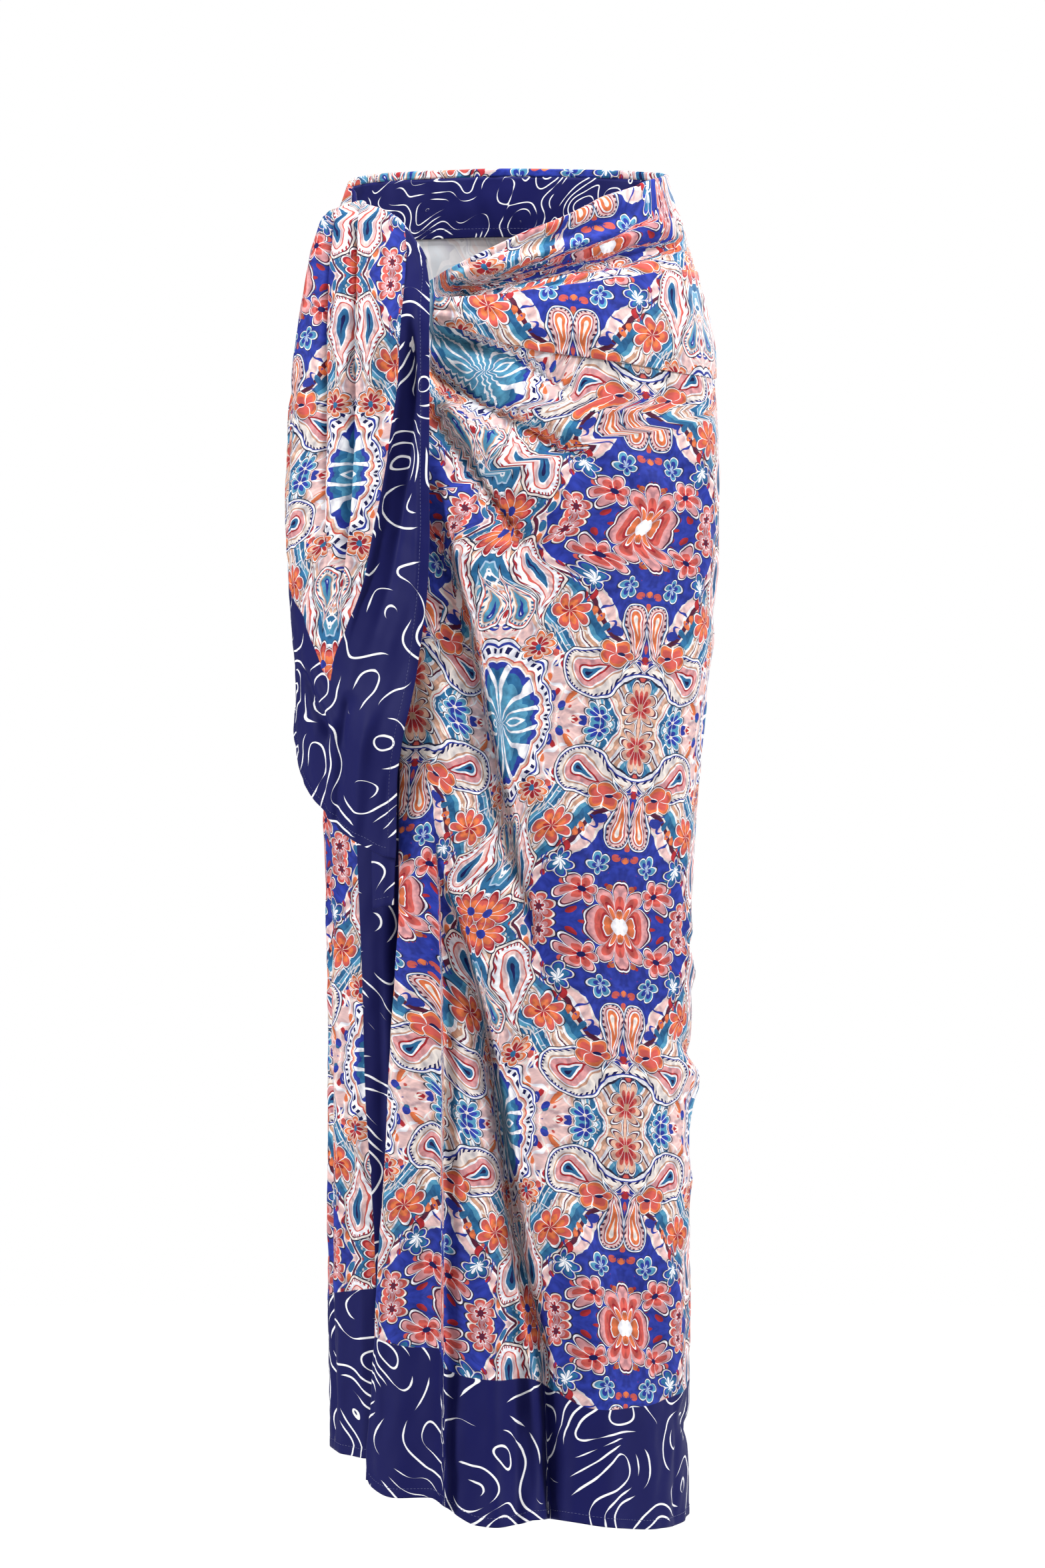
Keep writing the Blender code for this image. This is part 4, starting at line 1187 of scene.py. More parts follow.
WOUND = slice(0, len(ROWS))     # the rows under the rim
PAST_ROLL = slice(ROLL_COLUMNS, None)
TAIL_MIDDLE = slice(4, -12)     # columns clear of the tail's ends
TAIL_SIDE = slice(8, 206)       # rows clear of its corner and its top roll
SEAMS = {
    "front": [seam_line(front_whole[WOUND, PAST_ROLL], front_up[WOUND, PAST_ROLL])],
    "back": [seam_line(back_whole[WOUND], back_up[WOUND])],
    "inner_end": [seam_line(under_whole[WOUND], under_up[WOUND])],
    "turned_down_top": [seam_line(fold_whole, fold_inset)],
    "large_tail": [seam_line(tail_whole[:200, TAIL_MIDDLE], tail_low[:200, TAIL_MIDDLE]),
                   seam_line(turned(tail_whole[TAIL_SIDE]), turned(-tail_across[TAIL_SIDE]))],
    "small_tail": [seam_line(small_whole[:, 1:-1], (small_up - small_up[0])[:, 1:-1])],
}
sewn = {name: stitches(name + "_stitches", lines) for name, lines in SEAMS.items()}

# %% [markdown]
# ## Building materials from groups
# The cloth's colour is a print on thin crepe, and every part of it is made of shader nodes,
# so it stays sharp at any size. An effect that is used more than once becomes a node group
# with named inputs and outputs. The small helpers below add a node and feed its sockets in
# one line, which keeps a long pattern readable.

# %% Helpers for node groups
KINDS = {"value": "NodeSocketFloat", "vector": "NodeSocketVector", "colour": "NodeSocketColor"}


def new_group(name, inputs, outputs):
    """An empty node group with named sockets, its input node and its output node."""
    group = bpy.data.node_groups.new(name, "ShaderNodeTree")
    for label, kind, start in inputs:
        socket = group.interface.new_socket(label, in_out="INPUT", socket_type=KINDS[kind])
        if start is not None:
            socket.default_value = start
    for label, kind in outputs:
        group.interface.new_socket(label, in_out="OUTPUT", socket_type=KINDS[kind])
    return group, group.nodes.new("NodeGroupInput").outputs, group.nodes.new("NodeGroupOutput")


def feed(tree, node, values):
    """Give each socket of a node a link or a constant."""
    for key, value in values.items():
        if isinstance(value, bpy.types.NodeSocket):
            tree.links.new(value, node.inputs[key])
        elif value is not None:
            node.inputs[key].default_value = value


def calc(tree, operation, first, second=None, third=None):
    """One Math node."""
    node = tree.nodes.new("ShaderNodeMath")
    node.operation = operation
    feed(tree, node, {0: first, 1: second, 2: third})
    return node.outputs[0]


def vector_calc(tree, operation, first, second=None, scale=None, out=0):
    """One Vector Math node."""
    node = tree.nodes.new("ShaderNodeVectorMath")
    node.operation = operation
    feed(tree, node, {0: first, 1: second, "Scale": scale})
    return node.outputs[out]


def split(tree, vector):
    """The first two parts of a vector."""
    node = tree.nodes.new("ShaderNodeSeparateXYZ")
    feed(tree, node, {0: vector})
    return node.outputs[0], node.outputs[1]


def join(tree, x, y):
    """A level vector of two values."""
    node = tree.nodes.new("ShaderNodeCombineXYZ")
    feed(tree, node, {0: x, 1: y})
    return node.outputs[0]


def length_of(tree, x, y):
    """The length of a level vector given by its two parts."""
    squares = calc(tree, "ADD", calc(tree, "MULTIPLY", x, x), calc(tree, "MULTIPLY", y, y))
    return calc(tree, "SQRT", squares)


def between(tree, value, low, high):
    """A value mapped to 0 at low and 1 at high, and held there."""
    node = tree.nodes.new("ShaderNodeMapRange")
    feed(tree, node, {"Value": value, "From Min": low, "From Max": high})
    return node.outputs["Result"]


def blend(tree, factor, first, second, way="MIX"):
    """One colour laid over another."""
    node = tree.nodes.new("ShaderNodeMix")
    node.data_type = "RGBA"
    node.blend_type = way
    feed(tree, node, {0: factor, 6: first, 7: second})
    return node.outputs[2]


def noise(tree, vector, scale, detail=0.0, rough=0.5):
    """Smooth noise round 0.5 and its colour, which holds three independent values."""
    node = tree.nodes.new("ShaderNodeTexNoise")
    feed(tree, node, {"Vector": vector, "Scale": scale, "Detail": detail, "Roughness": rough})
    return node.outputs["Fac"], node.outputs["Color"]


def bands(tree, value, stops):
    """Colours in flat steps along a value."""
    node = tree.nodes.new("ShaderNodeValToRGB")
    ramp = node.color_ramp
    ramp.interpolation = "CONSTANT"
    ramp.elements[0].position = stops[0][0]
    ramp.elements[0].color = stops[0][1]
    ramp.elements[1].position = stops[1][0]
    ramp.elements[1].color = stops[1][1]
    for place, colour in stops[2:]:
        ramp.elements.new(place).color = colour
    feed(tree, node, {0: value})
    return node.outputs[0]


def use(tree, group, values):
    """A node that runs a group, and its outputs."""
    node = tree.nodes.new("ShaderNodeGroup")
    node.node_tree = group
    feed(tree, node, values)
    return node.outputs


print("group sockets may be:", ", ".join(KINDS))

# %% [markdown]
# ## Dyes
# Cloth like this is printed in a dozen colours on white. Naming them once keeps the whole
# print in one family, and a change of dye is then a change of one line.

# %% Dyes
DYES = {
    "cream": (0.80, 0.73, 0.67, 1), "white": (0.88, 0.88, 0.90, 1),
    "navy": (0.0062, 0.0072, 0.080, 1), "royal": (0.022, 0.040, 0.32, 1),
    "teal": (0.024, 0.14, 0.30, 1), "aqua": (0.085, 0.30, 0.46, 1),
    "ice": (0.42, 0.58, 0.74, 1), "pink": (0.72, 0.33, 0.33, 1),
    "blush": (0.80, 0.54, 0.51, 1), "coral": (0.60, 0.10, 0.080, 1),
    "orange": (0.70, 0.17, 0.06, 1), "red": (0.40, 0.022, 0.030, 1),
    "wine": (0.10, 0.012, 0.038, 1), "tan": (0.54, 0.30, 0.20, 1),
    "peach": (0.74, 0.45, 0.33, 1), "ink": (0.018, 0.018, 0.05, 1),
}
print(len(DYES), "dyes")

# %% [markdown]
# ## A bent drop
# The print is made of bent drops, open flowers and curved strokes, which are old forms of
# printed cloth. Each group answers one question, how deep a point lies inside the motif,
# and the depth picks the colour. That gives every motif its nested outlines. A drop is a
# round end and a tail that narrows, over an axis bent by the square of the distance.

# %% A bent drop
BEAD_RATE = 2000.0          # radians of beading for each metre


def drop_group():
    """A bent drop, the old paisley form: how deep a point lies inside it."""
    group, given, result = new_group(
        "Paisley Drop",
        [("Cloth", "vector", None), ("Place", "vector", None), ("Turn", "value", 0.0),
         ("Round", "value", 0.014), ("Length", "value", 0.03), ("Bend", "value", 12.0)],
        [("Depth", "value"), ("Beads", "value")])
    from_place = vector_calc(group, "SUBTRACT", given["Cloth"], given["Place"])
    turned = group.nodes.new("ShaderNodeVectorRotate")
    turned.rotation_type = "Z_AXIS"
    feed(group, turned, {"Vector": from_place, "Angle": given["Turn"]})
    aside, along = split(group, turned.outputs[0])
    ahead = calc(group, "MAXIMUM", along, 0.0)
    bent = calc(group, "MULTIPLY", calc(group, "MULTIPLY", ahead, ahead), given["Bend"])
    aside = calc(group, "ABSOLUTE", calc(group, "SUBTRACT", aside, bent))
    in_round = calc(group, "SUBTRACT", given["Round"], length_of(group, aside, along))
    share = calc(group, "MINIMUM", calc(group, "DIVIDE", ahead, given["Length"]), 1.0)
    narrow = calc(group, "SUBTRACT", 1.0, calc(group, "POWER", share, 1.4))
    in_tail = calc(group, "SUBTRACT", calc(group, "MULTIPLY", narrow, given["Round"]), aside)
    behind = calc(group, "LESS_THAN", along, 0.0)
    both = group.nodes.new("ShaderNodeMix")
    feed(group, both, {0: behind, 2: in_tail, 3: in_round})
    group.links.new(both.outputs[0], result.inputs["Depth"])
    way = calc(group, "MULTIPLY", calc(group, "ADD", aside, along), BEAD_RATE)
    bead = calc(group, "GREATER_THAN", calc(group, "SINE", way), 0.1)
    group.links.new(bead, result.inputs["Beads"])
    return group


DROP = drop_group()
print(DROP.name, "uses", len(DROP.nodes), "nodes")

# %% [markdown]
# ## An open flower
# A flower's outline goes in and out with the turn round its middle. A cosine to a low power
# gives round petals with narrow gaps, which a plain sine doesn't.

# %% An open flower
def flower_group():
    """An open flower: depth inside its petals, distance from its middle, and petal gaps."""
    group, given, result = new_group(
        "Open Flower",
        [("Cloth", "vector", None), ("Place", "vector", None), ("Turn", "value", 0.0),
         ("Radius", "value", 0.012), ("Petals", "value", 7.0)],
        [("Depth", "value"), ("Reach", "value"), ("Gap", "value")])
    from_place = vector_calc(group, "SUBTRACT", given["Cloth"], given["Place"])
    x, y = split(group, from_place)
    reach = vector_calc(group, "LENGTH", from_place, out="Value")
    angle = calc(group, "ADD", calc(group, "ARCTAN2", y, x), given["Turn"])
    half = calc(group, "MULTIPLY", calc(group, "MULTIPLY", angle, given["Petals"]), 0.5)
    petal = calc(group, "ABSOLUTE", calc(group, "COSINE", half))
    lobe = calc(group, "MULTIPLY_ADD", calc(group, "POWER", petal, 0.55), 0.42, 0.58)
    depth = calc(group, "SUBTRACT", calc(group, "MULTIPLY", lobe, given["Radius"]), reach)
    group.links.new(depth, result.inputs["Depth"])
    group.links.new(reach, result.inputs["Reach"])
    group.links.new(calc(group, "MULTIPLY", petal, reach), result.inputs["Gap"])
    return group


FLOWER = flower_group()
print(FLOWER.name, "uses", len(FLOWER.nodes), "nodes")

# %% [markdown]
# ## Curved strokes
# A brush leaves strokes that are even in width and end in points. The contours of smooth
# noise curve like that. Dividing the height over a contour by the slope gives a true
# distance, so the strokes don't swell where the noise is flat.

# %% Curved strokes
SLOPE_STEP = 0.0015         # distance over which the slope is measured
LEAST_SLOPE = 4.5
STROKE_EDGE = 0.0002


def line_group():
    """Curved strokes of even width that start and end in points, on contours of noise."""
    group, given, result = new_group(
        "Curved Strokes",
        [("Cloth", "vector", None), ("Size", "value", 0.055), ("Levels", "value", 6.0),
         ("Width", "value", 0.0012), ("Fill", "value", 0.5), ("Drift", "value", 0.0)],
        [("Mask", "value")])
    scale = calc(group, "DIVIDE", 1.0, given["Size"])

    def field(offset):
        """Noise with a steady rise, so that the strokes never leave a large gap."""
        moved = vector_calc(group, "ADD", given["Cloth"], offset)
        value, _ = noise(group, moved, scale)
        rise = vector_calc(group, "DOT_PRODUCT", moved, (0.55, 0.83, 0), out="Value")
        return calc(group, "MULTIPLY_ADD", rise, given["Drift"], value)

    here = field((0, 0, 0))
    right = field((SLOPE_STEP, 0, 0))
    above = field((0, SLOPE_STEP, 0))
    rise = length_of(group, calc(group, "SUBTRACT", right, here),
                     calc(group, "SUBTRACT", above, here))
    slope = calc(group, "MAXIMUM", calc(group, "DIVIDE", rise, SLOPE_STEP), LEAST_SLOPE)
    level = calc(group, "MULTIPLY", here, given["Levels"])
    away = calc(group, "ABSOLUTE", calc(group, "SUBTRACT", level, calc(group, "ROUND", level)))
    away = calc(group, "DIVIDE", away, calc(group, "MULTIPLY", slope, given["Levels"]))
    moved = vector_calc(group, "ADD", given["Cloth"], (7.3, 2.1, 4.4))
    part, _ = noise(group, moved, calc(group, "MULTIPLY", scale, 1.9))
    threshold = calc(group, "SUBTRACT", 1.0, given["Fill"])
    taper = between(group, part, calc(group, "MULTIPLY_ADD", threshold, 0.4, 0.3),
                    calc(group, "MULTIPLY_ADD", threshold, 0.4, 0.44))
    width = calc(group, "MULTIPLY", calc(group, "MULTIPLY", taper, given["Width"]), 0.5)
    edge = calc(group, "SUBTRACT", width, away)
    group.links.new(between(group, edge, 0.0, STROKE_EDGE), result.inputs["Mask"])
    return group


STROKES = line_group()
print(STROKES.name, "uses", len(STROKES.nodes), "nodes")

# %% [markdown]
# ## The field and its steps of colour
# Garden prints of this kind are mirrored both ways, so one small field of motifs makes the
# whole cloth. The place on the cloth is folded into that field and bent a little by noise,
# as if the lines were brushed by hand. An image would do the same with less work, but it
# would blur from close by.

# %% The mirrored field
HALF_WIDTH = 0.096          # the print mirrors at these distances
HALF_HEIGHT = 0.122
RAMP = 0.024                # depth at which a motif's colour steps end
INK_LINE = 0.70             # dark outline of every motif, in millimetres
ENLARGED = 1.25             # the whole print, against the sizes in the tables
DRIFT = 0.022               # how far the brush strays, and over what distance
DRIFT_SIZE = 0.030
FEATHER = 0.00025           # softness of a printed edge


def mirrored(tree, cloth):
    """The cloth's place folded into one field of the print, then bent by soft noise."""
    x, y = split(tree, cloth)
    folded = join(tree, calc(tree, "PINGPONG", x, HALF_WIDTH),
                  calc(tree, "PINGPONG", y, HALF_HEIGHT))
    _, drift = noise(tree, folded, 1 / DRIFT_SIZE, 2.5, 0.42)
    drift = vector_calc(tree, "SUBTRACT", drift, (0.5, 0.5, 0.5))
    return vector_calc(tree, "ADD", folded, vector_calc(tree, "SCALE", drift, scale=DRIFT))


def lay(tree, under, depth, stops):
    """A motif laid over what is under it, in flat steps inward from a thin dark line."""
    steps = [(0.0, DYES["ink"])]
    steps += [((start + INK_LINE) * MM / RAMP, DYES[dye]) for start, dye in stops]
    inside = bands(tree, calc(tree, "DIVIDE", depth, RAMP), steps)
    return blend(tree, between(tree, depth, 0.0, FEATHER), under, inside)


print("one field:", HALF_WIDTH * ENLARGED, "by", HALF_HEIGHT * ENLARGED, "m")

# %% [markdown]
# ## The plan of the print
# These tables are the whole design: the stripes along a lattice line, then each drop and
# each flower with its place and its steps of colour from the outline inward. The motifs
# and their places are this lesson's own.

# %% The plan of the print
LATTICE = [
    # signed distance from the lattice line, dye
    (-30, "royal"), (-26.5, "cream"), (-25, "blush"), (-20, "white"), (-18.4, "wine"),
    (-15.6, "cream"), (-14.2, "teal"), (-9.8, "aqua"), (-7.6, "white"), (-6.2, "tan"),
    (-3.8, "cream"), (-2.6, "wine"), (-1.8, "white"), (0.2, "peach"), (2.6, "tan"),
    (4.8, "cream"), (6.4, "coral"), (7.2, "white"), (8.6, "teal"), (13.0, "ice"), (14.0, "aqua"),
    (17.0, "white"), (18.4, "teal"), (22.5, "cream"), (24.0, "peach"), (27.0, "blush"),
]
DROPS = [
    # x, y, turn, round, length, bend (mm, degrees, 1 per metre), steps, bead dye
    (56, 30, 62, 17, 42, 13, [(0, "white"), (1.2, "royal"), (2.0, "cream"), (5.8, "tan"),
                              (6.8, "white"), (7.6, "pink"), (11.0, "red"), (12.2, "white"),
                              (13.4, "teal"), (15.2, "navy")], "navy"),
    (27, 96, 208, 15, 40, -14, [(0, "cream"), (1.2, "wine"), (1.9, "white"), (5.4, "coral"),
                                (6.4, "blush"), (8.8, "white"), (9.8, "teal"), (12.8, "navy")],
     "red"),
    (88, 62, 168, 11, 32, 17, [(0, "white"), (1.0, "teal"), (1.8, "blush"), (4.4, "red"),
                               (5.2, "white"), (6.2, "orange"), (8.4, "cream")], "wine"),
    (10, 66, -30, 10, 27, 18, [(0, "white"), (1.0, "coral"), (1.8, "cream"), (4.2, "tan"),
                               (5.0, "aqua"), (7.2, "royal"), (8.8, "white")], "teal"),
]
FLOWERS = [
    # x, y, turn, radius, petals, steps by depth, colour of the middle
    (96, 122, 0.0, 27, 8, [(0, "white"), (1.0, "wine"), (2.2, "pink"), (7.0, "coral"),
                           (12.0, "red"), (14.0, "white"), (15.0, "orange")], "white"),
    (45, 68, 0.4, 14, 7, [(0, "white"), (1.0, "coral"), (4.0, "orange"), (8.0, "red")], "cream"),
    (66, 104, 1.1, 14, 6, [(0, "white"), (0.9, "wine"), (1.7, "pink"), (4.0, "coral"),
                           (8.6, "red")], "navy"),
    (76, 42, 0.2, 10, 5, [(0, "cream"), (0.8, "orange"), (3.0, "coral")], "navy"),
    (55, 87, 0.9, 9, 6, [(0, "cream"), (0.8, "royal"), (2.0, "teal"), (4.0, "white")], "red"),
    (24, 44, 0.0, 11, 8, [(0, "white"), (0.8, "orange"), (2.6, "peach"), (4.4, "red")], "teal"),
    (47, 117, 0.5, 12, 7, [(0, "cream"), (0.9, "coral"), (3.4, "pink"), (6.0, "white"),
                           (6.8, "red")], "wine"),
    (7, 112, 0.2, 13, 8, [(0, "white"), (0.9, "red"), (2.6, "coral"), (5.5, "orange")], "royal"),
    (78, 84, 0.7, 10, 5, [(0, "white"), (0.8, "aqua"), (2.8, "royal"), (5.0, "ice")], "wine"),
    (66, 6, 0.9, 9, 6, [(0, "white"), (0.8, "aqua"), (2.8, "royal")], "cream"),
    (96, 14, 0.2, 15, 9, [(0, "white"), (0.9, "wine"), (1.8, "peach"), (5.2, "coral"),
                          (8.2, "red")], "tan"),
]
print(len(LATTICE), "stripes,", len(DROPS), "drops and", len(FLOWERS), "flowers")

# %% [markdown]
# ## The ground of the print
# Lattice lines divide deep blue fields from warm ones. Their distance comes from two
# cosines, whose sum is zero along a diamond net. Small seeds lie in both kinds of field,
# pale strokes run over the warm ones and veins over both, so that none is left flat.

# %% The ground of the print
LATTICE_REACH = 0.050       # metres for each unit of the cosines' sum over its slope
SEED_SIZE = 0.0078
SEED_SHARE = 0.40
SEEDS_FROM = 0.0187         # seeds start this far from the middle of the stripes
STRIPES_MIDDLE = 0.0055
SEED_DYES = [(0, "red"), (0.25, "orange"), (0.42, "coral"), (0.58, "royal"), (0.78, "teal")]


def lattice_line(group, place):
    """Signed distance from the lattice, positive in the warm fields."""
    x, y = split(group, place)
    turn_x = calc(group, "MULTIPLY", x, np.pi / HALF_WIDTH)
    turn_y = calc(group, "MULTIPLY", y, np.pi / HALF_HEIGHT)
    line = calc(group, "ADD", calc(group, "COSINE", turn_x), calc(group, "COSINE", turn_y))
    slope = calc(group, "ADD", calc(group, "ABSOLUTE", calc(group, "SINE", turn_x)),
                 calc(group, "ABSOLUTE", calc(group, "SINE", turn_y)))
    line = calc(group, "DIVIDE", line, calc(group, "MAXIMUM", slope, 0.7))
    return calc(group, "MULTIPLY", line, LATTICE_REACH)


def masked(group, mask, side, value, limit):
    """A mask kept only where a value is on one side of a limit."""
    return calc(group, "MULTIPLY", mask, calc(group, side, value, limit))


def ground(group, place):
    """The stripes of the lattice, and what fills the fields between them."""
    line = lattice_line(group, place)
    first, last = -0.03, 0.03
    steps = [((start * MM - first) / (last - first), DYES[dye]) for start, dye in LATTICE]
    colour = bands(group, between(group, line, first, last), steps)
    cells = group.nodes.new("ShaderNodeTexVoronoi")
    feed(group, cells, {"Vector": place, "Scale": 1 / SEED_SIZE, "Randomness": 0.9})
    seed = calc(group, "LESS_THAN", cells.outputs["Distance"], SEED_SHARE)
    aside = calc(group, "ABSOLUTE", calc(group, "SUBTRACT", line, STRIPES_MIDDLE))
    seed = masked(group, seed, "GREATER_THAN", aside, SEEDS_FROM)
    pick, _ = split(group, cells.outputs["Color"])
    colour = blend(group, seed, colour,
                   bands(group, pick, [(share, DYES[dye]) for share, dye in SEED_DYES]))
    stroke = use(group, STROKES, {"Cloth": place, "Size": 0.020, "Levels": 9.0,
                                  "Width": 0.0013, "Fill": 0.7})["Mask"]
    moved = vector_calc(group, "ADD", place, (0.3, 0.7, 0.2))
    vein = use(group, STROKES, {"Cloth": moved, "Size": 0.014, "Levels": 7.0,
                                "Width": 0.0013, "Fill": 0.6})["Mask"]
    for mask, side, from_line, dye in ((stroke, "GREATER_THAN", 0.006, "white"),
                                       (vein, "LESS_THAN", -0.013, "royal"),
                                       (vein, "GREATER_THAN", -0.010, "cream")):
        colour = blend(group, masked(group, mask, side, line, from_line), colour, DYES[dye])
    return colour


print(len(SEED_DYES), "dyes of seeds")

# %% [markdown]
# ## The medallion
# In the middle of each warm field lies a scalloped medallion with a ring of beads and
# rays that curl a little. It is drawn by the turn and the distance from its middle, so
# one sine for each detail is enough.

# %% The medallion
MEDALLION_SHAPE = (1.18, 0.86, 0)   # stretch of the distance, so it is taller than wide
MEDALLION_RADIUS = 0.043
MEDALLION_STEPS = [
    # depth, dye
    (0, "white"), (1.4, "royal"), (2.4, "white"), (8.2, "coral"), (9.2, "peach"),
    (11.0, "white"), (12.2, "royal"), (16.5, "teal"), (21.5, "aqua"),
]
SCALLOPS = 10.0
SCALLOP_DEPTH = 0.0022
BEAD_RING = 0.0052          # depth at which its beads lie
BEADS = 56.0
RAYS = 12.0
RAY_CURL = 160.0
RAYS_FROM = 0.0135


def medallion(group, colour, place):
    """The medallion laid over a colour."""
    x, y = split(group, place)
    angle = calc(group, "ARCTAN2", y, x)
    reach = vector_calc(group, "LENGTH", vector_calc(group, "MULTIPLY", place, MEDALLION_SHAPE),
                        out="Value")
    wave = calc(group, "ABSOLUTE", calc(group, "SINE", calc(group, "MULTIPLY", angle, SCALLOPS)))
    edge = calc(group, "MULTIPLY_ADD", wave, SCALLOP_DEPTH, MEDALLION_RADIUS)
    depth = calc(group, "SUBTRACT", edge, reach)
    colour = lay(group, colour, depth, MEDALLION_STEPS)
    from_ring = calc(group, "ABSOLUTE", calc(group, "SUBTRACT", depth, BEAD_RING))
    bead = calc(group, "GREATER_THAN", calc(group, "SINE", calc(group, "MULTIPLY", angle, BEADS)),
                0.15)
    colour = blend(group, masked(group, bead, "LESS_THAN", from_ring, 0.0014), colour,
                   DYES["navy"])
    curl = calc(group, "MULTIPLY", reach, RAY_CURL)
    ray = between(group, calc(group, "SINE", calc(group, "MULTIPLY_ADD", angle, RAYS, curl)),
                  0.62, 0.72)
    return blend(group, masked(group, ray, "GREATER_THAN", depth, RAYS_FROM), colour,
                 DYES["white"])


print("the medallion has", int(2 * SCALLOPS), "scallops and", int(BEADS), "beads")

# %% [markdown]
# ## The whole print
# The drops and flowers of the plan go over the ground and the medallion, one after
# another, as colours are laid in printing. Last comes the uneven dye, which darkens and
# lightens everything in small patches.

# %% The whole print
BEADS_INWARD = 1.3          # millimetres from a drop's third step to its beads
PETAL_GAP = 0.0006
HEART_SHARE = 0.2           # radius of a flower's middle, as a share of its own


def add_drops(group, colour, place):
    """Every drop of the plan, with a row of beads in each."""
    for x, y, turn, wide, length, bend, steps, bead in DROPS:
        drop = use(group, DROP, {
            "Cloth": place, "Place": (x * MM, y * MM, 0), "Turn": np.radians(turn),
            "Round": wide * MM, "Length": length * MM, "Bend": bend})
        colour = lay(group, colour, drop["Depth"], steps)
        row = calc(group, "SUBTRACT", drop["Depth"], (steps[2][0] + BEADS_INWARD) * MM)
        row = calc(group, "ABSOLUTE", row)
        colour = blend(group, masked(group, drop["Beads"], "LESS_THAN", row, 0.0007), colour,
                       DYES[bead])
    return colour


def add_flowers(group, colour, place):
    """Every flower of the plan, with white gaps between its petals."""
    for x, y, turn, radius, petals, steps, middle in FLOWERS:
        flower = use(group, FLOWER, {
            "Cloth": place, "Place": (x * MM, y * MM, 0), "Turn": turn,
            "Radius": radius * MM, "Petals": petals})
        colour = lay(group, colour, flower["Depth"], steps)
        gap = calc(group, "LESS_THAN", flower["Gap"], PETAL_GAP)
        colour = blend(group, masked(group, gap, "GREATER_THAN", flower["Depth"], 0.0), colour,
                       DYES["white"])
        heart = calc(group, "LESS_THAN", flower["Reach"], radius * HEART_SHARE * MM)
        colour = blend(group, heart, colour, DYES[middle])
    return colour


def print_group():
    """The garden print at any place on the cloth."""
    group, given, result = new_group("Garden Print", [("Cloth", "vector", None)],
                                     [("Color", "colour")])
    cloth = vector_calc(group, "SCALE", given["Cloth"], scale=1 / ENLARGED)
    place = mirrored(group, cloth)
    colour = medallion(group, ground(group, place), place)
    colour = add_flowers(group, add_drops(group, colour, place), place)
    shade, _ = noise(group, place, 1 / 0.005, 2.0)
    brushed = between(group, shade, 0.32, 0.68)
    light = blend(group, brushed, (0.50, 0.50, 0.57, 1), (1.10, 1.09, 1.08, 1))
    colour = blend(group, 1.0, colour, light, "MULTIPLY")
    group.links.new(colour, result.inputs["Color"])
    return group


PRINT = print_group()
print(PRINT.name, "uses", len(PRINT.nodes), "nodes")

# %% [markdown]
# ## The border
# All round the cloth runs a deep blue border with fine pale strokes. The group of strokes
# serves here too, with wide spacing and a steady rise across the cloth, so that no large
# gap stays empty.

# %% The border
def border_group():
    """The deep blue border at any place on the cloth."""
    group, given, result = new_group(
        "Deep Blue Border", [("Cloth", "vector", None), ("Size", "value", 0.05),
                             ("Width", "value", 0.0018)], [("Color", "colour")])
    stroke = use(group, STROKES, {"Cloth": given["Cloth"], "Size": given["Size"],
                                  "Levels": 8.0, "Width": given["Width"], "Fill": 0.75,
                                  "Drift": 2.4})["Mask"]
    colour = blend(group, stroke, DYES["navy"], DYES["white"])
    group.links.new(colour, result.inputs["Color"])
    return group


BORDER_PRINT = border_group()
print(BORDER_PRINT.name, "uses", len(BORDER_PRINT.nodes), "nodes")

# %% [markdown]
# ## Weave and wrong side
# The cloth is a fine crepe: its threads are too thin to see from here, but they break up
# the gloss, and the cloth never lies quite flat. A group gives that relief to both sides.
# The wrong side shows the same print only faintly, because the dye hardly goes through.

# %% Weave and wrong side
def crepe_group():
    """Height of fine crinkled threads and of soft unevenness in the cloth."""
    group, given, result = new_group(
        "Crepe Relief", [("Cloth", "vector", None), ("Crinkle", "value", 0.5)],
        [("Height", "value")])
    stretched = vector_calc(group, "MULTIPLY", given["Cloth"], (1.0, 0.55, 1.0))
    threads, _ = noise(group, stretched, 1 / 0.0007, 1.0)
    soft, _ = noise(group, given["Cloth"], 1 / 0.016, 1.0)
    crinkle = calc(group, "MULTIPLY", calc(group, "MULTIPLY", soft, given["Crinkle"]), 8.0)
    height = calc(group, "ADD", calc(group, "MULTIPLY", threads, 0.35), crinkle)
    group.links.new(height, result.inputs["Height"])
    return group


def wrong_side_group():
    """The print as it shows through to the wrong side."""
    group, given, result = new_group(
        "Show Through", [("Color", "colour", None), ("Strength", "value", 0.2)],
        [("Color", "colour")])
    faded = blend(group, given["Strength"], (0.86, 0.85, 0.85, 1), given["Color"])
    group.links.new(faded, result.inputs["Color"])
    return group


CREPE = crepe_group()
SHOW_THROUGH = wrong_side_group()
print("two more groups:", CREPE.name, "and", SHOW_THROUGH.name)

# %% [markdown]
# ## Materials
# The right side is the print with the border round it, chosen by the distance from the
# finished edge. The wrong side is the same in pale. What is the same all over a surface,
# such as roughness and sheen, is set on the shader itself.

# %% Materials
EDGE_SOFTNESS = 0.0004
CRINKLE = 0.5
CREPE_FINISH = {"Roughness": 0.62, "Sheen Weight": 0.025, "Sheen Roughness": 0.45,
                "Specular IOR Level": 0.13}
THREAD_FINISH = {"Base Color": (0.05, 0.055, 0.19, 1), "Roughness": 0.45, "Sheen Weight": 0.2}


def new_material(name, finish):
    """A material with constant values on its shader, its node tree and the shader."""
    material = bpy.data.materials.new(name)
    material.use_nodes = True
    tree = material.node_tree
    shader = tree.nodes["Principled BSDF"]
    feed(tree, shader, finish)
    return material, tree, shader


def map_of(tree, name):
    """The values of one of the cloth's maps."""
    node = tree.nodes.new("ShaderNodeUVMap")
    node.uv_map = name
    return node.outputs["UV"]


